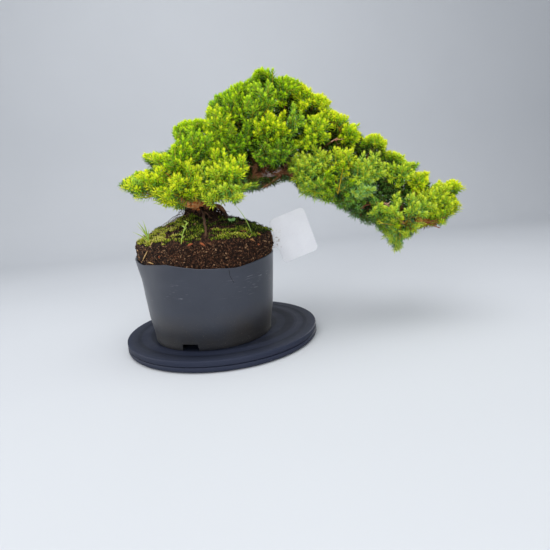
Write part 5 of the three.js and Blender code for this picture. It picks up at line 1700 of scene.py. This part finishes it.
def fill_targets():
    """Points all over the foliage's outline, at several depths, where shoots should end."""
    low, high = np.min(OUTLINE_PX, 0), np.max(OUTLINE_PX, 0)
    targets = []
    for side, inwards, fresh, room in FILL_LAYERS:
        draw = rng(f"fill-{side}-{inwards}")
        pixels = []
        for row, down in enumerate(np.arange(low[1], high[1], FILL["step"] * 0.87)):
            shift = FILL["step"] / 2 * (row % 2)
            for across in np.arange(low[0] + shift, high[0], FILL["step"]):
                wander = [draw.uniform(-FILL["jitter"], FILL["jitter"]) for _ in range(3)]
                notch = FILL["notch"] * max(0, noise.noise(Vector((across / 5, down / 5, 0))) + 0.1)
                pixels.append((across + wander[0], down + wander[1], 2.5 * wander[2], notch))
        pixels = np.array(pixels)
        deep = inside_distance(pixels[:, :2])
        loose = hangs_free(pixels[:, :2], deep)
        kept = deep > FILL["margin"] + inwards * 0.3 + pixels[:, 3] * (1 + 0.6 * loose) + 1.2 * loose
        depths, valley = depth_at(pixels[:, :2], deep, side)
        depths += inwards if side == "front" else -inwards
        # painted shade darkens the needles in the valleys between clumps; painted light brightens them near
        # the upper outline
        tones = lerp(fresh * (1 - CLUMP["shade"] * valley), 1, rim_share(pixels[:, :2], deep))
        for pixel, depth, tone in zip(pixels[kept], depths[kept], tones[kept]):
            targets.append((from_photo(pixel[:2], depth + pixel[2]), tone, room))
    sprigs = [(from_photo(row[:2], row[2]), row[3], SPRIG_ROOM) for row in SPRIGS_PX]
    return sprigs + targets


def skeleton(canopy):
    """Places that new shoots may start from: a point, the way it grows, its spray and its tones."""
    nodes = []
    for shoot in canopy.shoots:
        for place in np.arange(0.12, 0.9, max(4 / shoot.length, 0.12)):
            nodes.append((shoot.point(place), shoot.way(place), shoot))
    return nearest_tree([node[0] for node in nodes]), nodes


def fill_gaps(canopy):
    """Grows shoots to the targets that have none yet, each from the part of the plant that suits it best."""
    core = wood_tree(24)
    targets = fill_targets()
    for _ in range(FILL["passes"]):
        tree, nodes = skeleton(canopy)
        order = sorted(range(len(targets)), key=lambda i: tree.find(Vector(targets[i][0]))[2])
        left = []
        for i in order:
            target, fresh, room = targets[i]
            if not canopy.crowded(target, room) and grow_to(canopy, target, fresh, tree, nodes, core) is None:
                left.append(targets[i])
        targets = left
    for depth in HOLES["depths"]:
        close_holes(canopy, core, depth)


def close_holes(canopy, core, depth):
    """Adds shoots inside the foliage wherever the backdrop would show between the needles."""
    low = np.floor(np.min(OUTLINE_PX, 0)) - 2
    wide, high = (np.max(OUTLINE_PX, 0) - low + 4).astype(int)
    parts = [needles(shoot, number)[0] for number, shoot in enumerate(canopy.shoots)]
    verts = np.concatenate(parts)
    places = (np.arange(6) + 0.5) / 6
    spots = np.concatenate([lerp(verts[:, 0], verts[:, 4], place) for place in places])
    widths = np.linalg.norm(verts[:, 1] - verts[:, 2], axis=1)
    lengths = np.linalg.norm(verts[:, 4] - verts[:, 0], axis=1)
    areas = lengths * widths * 0.5 * 0.8 / MM_PER_PX**2 / len(places)
    cells = (to_photo(spots) - low).astype(int)
    kept = (cells >= 0).all(1) & (cells[:, 0] < wide) & (cells[:, 1] < high)
    index = (cells[:, 1] * wide + cells[:, 0])[kept]
    layers = np.bincount(index, np.tile(areas, len(places))[kept], minlength=wide * high).reshape(high, wide)
    wood = [branch_points(rows, np.linspace(0, 1, 120)) for rows in WOOD.values()]
    spots, radii = np.vstack([part[0] for part in wood]), np.concatenate([part[1] for part in wood])
    for side in (-0.6, 0, 0.6):
        across, down = (to_photo(spots + np.outer(radii * side, [0, 0, 1])) - low).astype(int).T
        layers[np.clip(down, 0, high - 1), np.clip(across, 0, wide - 1)] += HOLES["layers"]
    near = sum(np.roll(np.roll(layers, i, 0), j, 1) for i in (-1, 0, 1) for j in (-1, 0, 1)) / 9
    near = np.minimum(near, layers * HOLES["bare"])
    rows, columns = np.nonzero(near < HOLES["layers"])
    pixels = np.column_stack([columns, rows]) + low + 0.5
    pixels = pixels[inside_distance(pixels) > FILL["margin"]]
    pixels = pixels[np.argsort([near[int(y - low[1]), int(x - low[0])] for x, y in pixels], kind="stable")]
    tree, nodes = skeleton(canopy)
    draw = rng(f"holes-{depth}")
    done = np.zeros((high, wide), bool)
    # the inner shoots' duller needles are partly painted shade; painted light brightens them near the upper
    # outline
    tones = lerp(HOLES["fresh"], 1, rim_share(pixels, inside_distance(pixels)))
    for pixel, tone in zip(pixels, tones):
        across, down = (pixel - low).astype(int)
        if done[down, across] or any(math.hypot(*(pixel - spot[:2])) < spot[2] for spot in OPEN_PX):
            continue
        target = from_photo(pixel, depth + draw.uniform(-5, 5))
        if not canopy.crowded(target, HOLES["room"]):
            if grow_to(canopy, target, tone, tree, nodes, core) is not None:
                reach = HOLES["spot"]
                done[down - reach : down + reach, across - reach : across + reach] = True


def grow_to(canopy, target, fresh, tree, nodes, core):
    """Grows a shoot to a target from the nearby place that bends least to get there."""
    target = np.minimum(target, REACH)
    outwards = unit(target - np.array(core.find(Vector(target))[0]))
    best, best_score = None, 1e9
    for _, index, distance in tree.find_n(Vector(target), CHOICE["places"]):
        if not FILL["least"] < distance < FILL["most"]:
            continue
        point, way, _ = nodes[index]
        toward = (target - point) / distance
        onward, outward = toward.dot(way), toward.dot(outwards)
        liking = CHOICE["distance"] - CHOICE["way"] * onward - CHOICE["outwards"] * outward
        score = distance * (liking - CHOICE["up"] * toward[2])
        allowed = outward > CHOICE["least_outwards"] and onward > CHOICE["least_way"]
        if allowed and score < best_score:
            best, best_score = index, score
    if best is None:
        return None
    start, way, parent = nodes[best]
    distance = np.linalg.norm(target - start)
    bend = start + unit(way + 1.4 * unit(target - start)) * distance * 0.5 - np.array([0, 0, 0.06 * distance])
    shoot = side_shoot(start, bend, target, LEAFY["fill"], parent, fresh)
    shoot.broad = 1.0 if fresh > INNER_FRESH or shoot.loose else 1.5
    if hides_wood(shoot.points([0.5, 0.75, 1])):
        return None
    return canopy.keep(shoot)


def by_three(values):
    """Each value three times, once for each needle of a whorl."""
    return np.repeat(values, 3, axis=0)


def needles(shoot, number):
    """Whorls of three needles along the leafy end of a shoot, closing round its bud: points and tints."""
    draw = rng(f"needles-{number}")
    leafy = min(shoot.leafy, shoot.length * 0.96)
    back, gap = NEEDLE["first"], (1 + 0.5 * shoot.loose) * shoot.broad
    rows = []
    turn = draw.uniform(0, 6)
    while back < leafy:
        rows.append((back, turn))
        back += gap
        gap = min(gap + NEEDLE["gap_grows"] * shoot.broad, NEEDLE["gap"] * shoot.broad)
        turn += math.pi / 3 + draw.uniform(-0.15, 0.15)
    backs = np.array([r[0] for r in rows])
    turns = np.array([r[1] for r in rows])
    places = 1 - backs / shoot.length
    centres = shoot.points(places)
    alongs = shoot.points(np.clip(places + 0.02, 0, 1)) - shoot.points(places - 0.02)
    alongs /= np.linalg.norm(alongs, axis=1)[:, None]
    across = np.cross(alongs, [0.02, 0.03, 1])
    across /= np.linalg.norm(across, axis=1)[:, None]
    above = np.cross(across, alongs)
    grown = smooth(-2.7, 6.3, backs)
    lengths = NEEDLE["length"] * lerp(0.42 + 0.4 * shoot.loose, 1, grown)
    sideways = float(smooth(0.5, -0.2, shoot.way(0.95)[2])) if shoot.broad == 1 else 0.5
    sideways = max(sideways, shoot.loose, ROUND_TIP)
    spread = smooth(-4 * sideways, 7 - 3.5 * sideways, backs)
    leans = lerp(0.2, WIDEST_SPREAD + 0.1 * sideways, spread) + 0.12 * smooth(14, 30, backs)
    count = len(rows) * 3
    angle = (turns[:, None] + np.arange(3) * 2 * math.pi / 3).reshape(-1)
    out = by_three(across) * np.cos(angle)[:, None] + by_three(above) * np.sin(angle)[:, None]
    jitter = np.array([draw.uniform(-NEEDLE["jitter"], NEEDLE["jitter"]) for _ in range(count)])
    sizes = by_three(lengths) * np.array([draw.uniform(0.86, 1.12) for _ in range(count)])
    lean = by_three(leans) + jitter
    way = out * np.sin(lean)[:, None] + by_three(alongs) * np.cos(lean)[:, None]
    wide = np.cross(way, out)
    wide /= np.linalg.norm(wide, axis=1)[:, None]
    up = np.cross(wide, way)
    root = by_three(centres) + out * 0.15
    body = root + way * (sizes * 0.36)[:, None] + out * (sizes * NEEDLE["bulge"])[:, None]
    tip = root + way * sizes[:, None]
    slim = shoot.broad * (1 - 0.15 * shoot.loose)
    half, thick = NEEDLE["half_width"] * slim, NEEDLE["half_thick"] * slim
    verts = np.stack([root, body + wide * half, body - wide * half, body - up * thick, tip], axis=1)
    age = by_three(np.exp(-backs / NEEDLE["ages"])) * shoot.fresh + NEEDLE["least_fresh"] * shoot.fresh
    tint = np.zeros((count, 5, 4))
    tint[..., 0] = np.clip(age, 0, 1)[:, None]
    tint[..., 1] = [0, 0.36, 0.36, 0.36, 1]
    tint[..., 2] = draw.random()
    waxy = by_three(smooth(5, 14, backs)) * (WAX if shoot.broad == 1 else 0)
    tint[..., 3] = np.clip(shoot.blue + waxy, 0, 1)[:, None]
    return verts, tint


def stem_tube(heap, shoot):
    """The thin stem of a shoot, older and browner towards its foot."""
    places = np.linspace(0, 1, max(3, int(shoot.length / 9) + 1))
    points = shoot.points(places)
    radii = lerp(shoot.radii[0], shoot.radii[1], places)
    verts, faces = tube(points, radii, STEM["sides"])
    age = np.clip((1 - places) * shoot.length / 45, 0, 1)
    tint = np.zeros((len(verts), 4))
    tint[:, 0] = np.concatenate([np.repeat(age, STEM["sides"]), [age[0], age[-1]]])
    tint[:, 1] = 1 - shoot.fresh
    heap.add(verts, faces, tint)


def is_dead(shoot):
    """Whether a shoot lies where the photograph shows brown needles."""
    pixel = to_photo(shoot.points([0.8]))[0]
    return any(math.hypot(pixel[0] - x, pixel[1] - y) < radius for x, y, radius in BROWN_PX)


def shown_stem(heap, shoot):
    """A young stem in full view, from the stem that bears it to its tip."""
    line = np.vstack([[shoot.joint], shoot.points(np.linspace(0, 1, 7))])
    radii = np.concatenate([[shoot.radii[0]], np.linspace(*shoot.radii, 7)])
    heap.add(*tube(line, radii, 5), (shoot.tone, 0, 0, 1))


def add_foliage():
    canopy = grow_canopy()
    fill_gaps(canopy)
    green, woody = foliage_look(), twig_look()
    heaps, stems, dead, shown = [Heap() for _ in SPRAYS], [Heap() for _ in SPRAYS], Heap(), Heap()
    low, high = (np.array(corner) / MM for corner in cad_box)
    for number, shoot in enumerate(canopy.shoots):
        verts, tint = needles(shoot, number)
        verts = np.clip(verts, low + 0.01, high - 0.01)
        faces = (np.arange(len(verts))[:, None, None] * 5 + NEEDLE_FACES).reshape(-1, 3)
        brown = number >= FIRST_STEMS and is_dead(shoot) and number % 2 and shoot.broad == 1
        heap = dead if brown else heaps[shoot.spray]
        heap.add(verts.reshape(-1, 3), faces, tint.reshape(-1, 4))
        if shoot.joint is None:
            stem_tube(stems[shoot.spray], shoot)
        else:
            shown_stem(shown, shoot)
    for row, spray in enumerate(SPRAYS):
        heaps[row].piece(f"needles_{spray[0]}", green, node=f"spray_{spray[0]}", slot="foliage", flat=True)
        stems[row].piece(f"stems_{spray[0]}", woody, slot="bark")
    stops = [(0, 110, 64, 36), (0.5, 206, 122, 44), (0.8, 210, 172, 46), (1, 196, 196, 48)]
    shown.piece("shown_stems", crumb_look("shown_stems", stops, 0.6), slot="bark")
    stops = [(0, 120, 62, 22), (0.5, 190, 112, 40), (1, 224, 170, 84)]
    dead.piece("dead_needles", crumb_look("dead_needles", stops), slot="foliage", flat=True)


# Weeds
def blade(heap, start, span, width, tone):
    """A slender leaf of grass, keeled along its middle and drawn out to a point."""
    rows = 10
    places = np.linspace(0, 1, rows)
    line = quadratic(start, start + span * [0.15, 0.15, 0.5], start + span, places)
    tangents, _, _ = frames_along(line)
    across = np.cross(tangents, [0.1, 1, 0.2])
    across /= np.linalg.norm(across, axis=1)[:, None]
    keel = np.cross(across, tangents)
    half = (width / 2 * (1 - places**2.4) * (0.75 + 0.25 * np.sin(places * 3)) + 0.08)[:, None]
    sides = (across * half, keel * half * 0.5, -across * half, keel * half * 0.2)
    ring = np.stack([line + side for side in sides], axis=1)
    verts = np.vstack([ring.reshape(-1, 3), line[:1], line[-1:]])
    tint = np.zeros((len(verts), 4))
    tint[:, 0] = np.concatenate([np.repeat(places, 4), [0, 1]])
    tint[:, 1] = tone
    heap.add(verts, tube_faces(rows, 4), tint)


def add_weeds(ground):
    draw = rng("weeds")
    look = grass_look()
    for name, plant in (("grass_tuft", TUFT), ("grass_blade", LONG_BLADE)):
        heap = Heap()
        for number, span in enumerate(plant["blades"]):
            x, y = plant["x"] + draw.uniform(-1, 1), plant["y"] + draw.uniform(-1, 1)
            foot = ground.below(x, y)[0] - [0, 0, 1.5]
            width, tone = plant["width"] * (1 - 0.1 * number), 0.3 * draw.random()
            blade(heap, foot, np.array(span, float) + [0, 0, 1.5], width, tone)
        heap.piece(f"{name}_leaves", look, node=name, slot="grass")
    heap = Heap()
    foot = ground.below(SEEDLING["x"], SEEDLING["y"])[0]
    stalk_end = foot + SEEDLING["stalk"]
    stalk = quadratic(foot - [0, 0, 1], lerp(foot, stalk_end, 0.6), stalk_end, np.linspace(0, 1, 6))
    heap.add(*tube(stalk, np.linspace(0.5, 0.35, 6), 6), (0.2, 0.8, 0, 1))
    for side, size in ((1, 1), (-1, 0.9)):
        leaf(heap, stalk_end, side, SEEDLING["leaf"] * size)
    heap.piece("seedling_leaves", look, node="seedling_leaf", slot="grass")
    heap = Heap()
    low = ground.seen_at(STALK_PX[0])[0]
    high = from_photo(STALK_PX[1], low[1] + 8)
    line = quadratic(low - [0, 0, 1], lerp(low, high, 0.5) + [-2, 0, 1], high, np.linspace(0, 1, 9))
    heap.add(*tube(line, np.linspace(0.5, 0.3, 9), 5), (0.7, 0, 0, 1))
    for number, row in enumerate((2, 3, 5, 6, 7, 8)):
        side = -1 if number % 2 else 1
        blade(heap, line[row], np.array([side * 3.5, draw.uniform(-2, 2), 3]), 1.8, 0.1)
    heap.piece("weed_stalk", look, slot="grass")


def leaf(heap, foot, side, reach):
    """A small rounded leaf, cupped, facing up and forwards."""
    way = unit([side, -0.2, 0.3])
    across = unit(np.cross([0, -0.75, 0.65], way))
    over = np.cross(way, across)
    rows, verts = 7, []
    for step in range(rows):
        along = 0.1 + 1.8 * step / (rows - 1)
        half = math.sqrt(max(0.02, 1 - (along - 1) ** 2))
        middle = foot + way * reach * along * 0.5
        for edge, lift in ((1, 0.15), (0, 0.1), (-1, 0.15), (0, -0.05)):
            verts.append(middle + across * edge * half * reach * 0.62 + over * lift * reach * 0.5)
    verts += [foot + way * reach * 0.04, foot + way * reach * 0.97]
    heap.add(verts, tube_faces(rows, 4), (0.35, 0.9, 0, 1))


# Label
def label_outline():
    """The label's outline: along its stem from the soil upwards, and across it."""
    half, neck, end = LABEL["width"] / 2, LABEL_STEM["width"] / 2, LABEL_STEM["length"]
    corner, shoulder, head = LABEL["corner"], LABEL_STEM["shoulder"], LABEL["head"]
    side = [(-end, 0.0), (LABEL_STEM["point"] - end, -neck), (-shoulder, -neck)]
    for step in range(1, 9):
        t = step / 8
        side.append((-shoulder * (1 - t) ** 2, -neck * (1 - t * t) - (neck + shoulder) * t * t))
    for centre_x, start in ((corner, 180), (head - corner, 270)):
        for step in range(9):
            angle = math.radians(start + step * 11.25)
            side.append((centre_x + corner * math.cos(angle), corner - half + corner * math.sin(angle)))
    mirrored = [(x, -y) for x, y in reversed(side[1:])]
    return side + mirrored


def add_label():
    outline = label_outline()
    bm = bmesh.new()
    flat = [bm.verts.new((x * MM, 0, y * MM)) for x, y in outline]
    face = bm.faces.new(flat)
    made = bmesh.ops.extrude_face_region(bm, geom=[face])
    moved = [v for v in made["geom"] if isinstance(v, bmesh.types.BMVert)]
    bmesh.ops.translate(bm, verts=moved, vec=(0, LABEL["thick"] * MM, 0))
    bmesh.ops.translate(bm, verts=bm.verts, vec=(0, -LABEL["thick"] / 2 * MM, 0))
    bmesh.ops.recalc_face_normals(bm, faces=bm.faces)
    rims = [edge for edge in bm.edges if abs(edge.verts[0].co.y - edge.verts[1].co.y) < 1e-7]
    bmesh.ops.bevel(bm, geom=rims, offset=0.25 * MM, segments=2, affect="EDGES")
    turn = Matrix.Translation(Vector((LABEL["x"], LABEL["y"], LABEL["z"])) * MM)
    bm.transform(turn @ Matrix.Rotation(-math.radians(LABEL["tilt"]), 4, "Y"))
    mesh = bpy.data.meshes.new("plant_label")
    bm.to_mesh(mesh)
    bm.free()
    mesh.shade_smooth()
    mesh.set_sharp_from_angle(angle=math.radians(50))
    add_object("plant_label", mesh, label_look(), TOP, "label", "label_plastic")


bpy.context.scene.view_settings.view_transform = "Standard"
add_camera()
add_stage()
add_lights()
add_turntable()
add_pot()
ground = add_soil()
add_peat(ground)
add_moss(ground)
add_roots(ground)
add_litter(ground)
add_weeds(ground)
add_trunk()
add_dead_twigs()
add_label()
add_foliage()
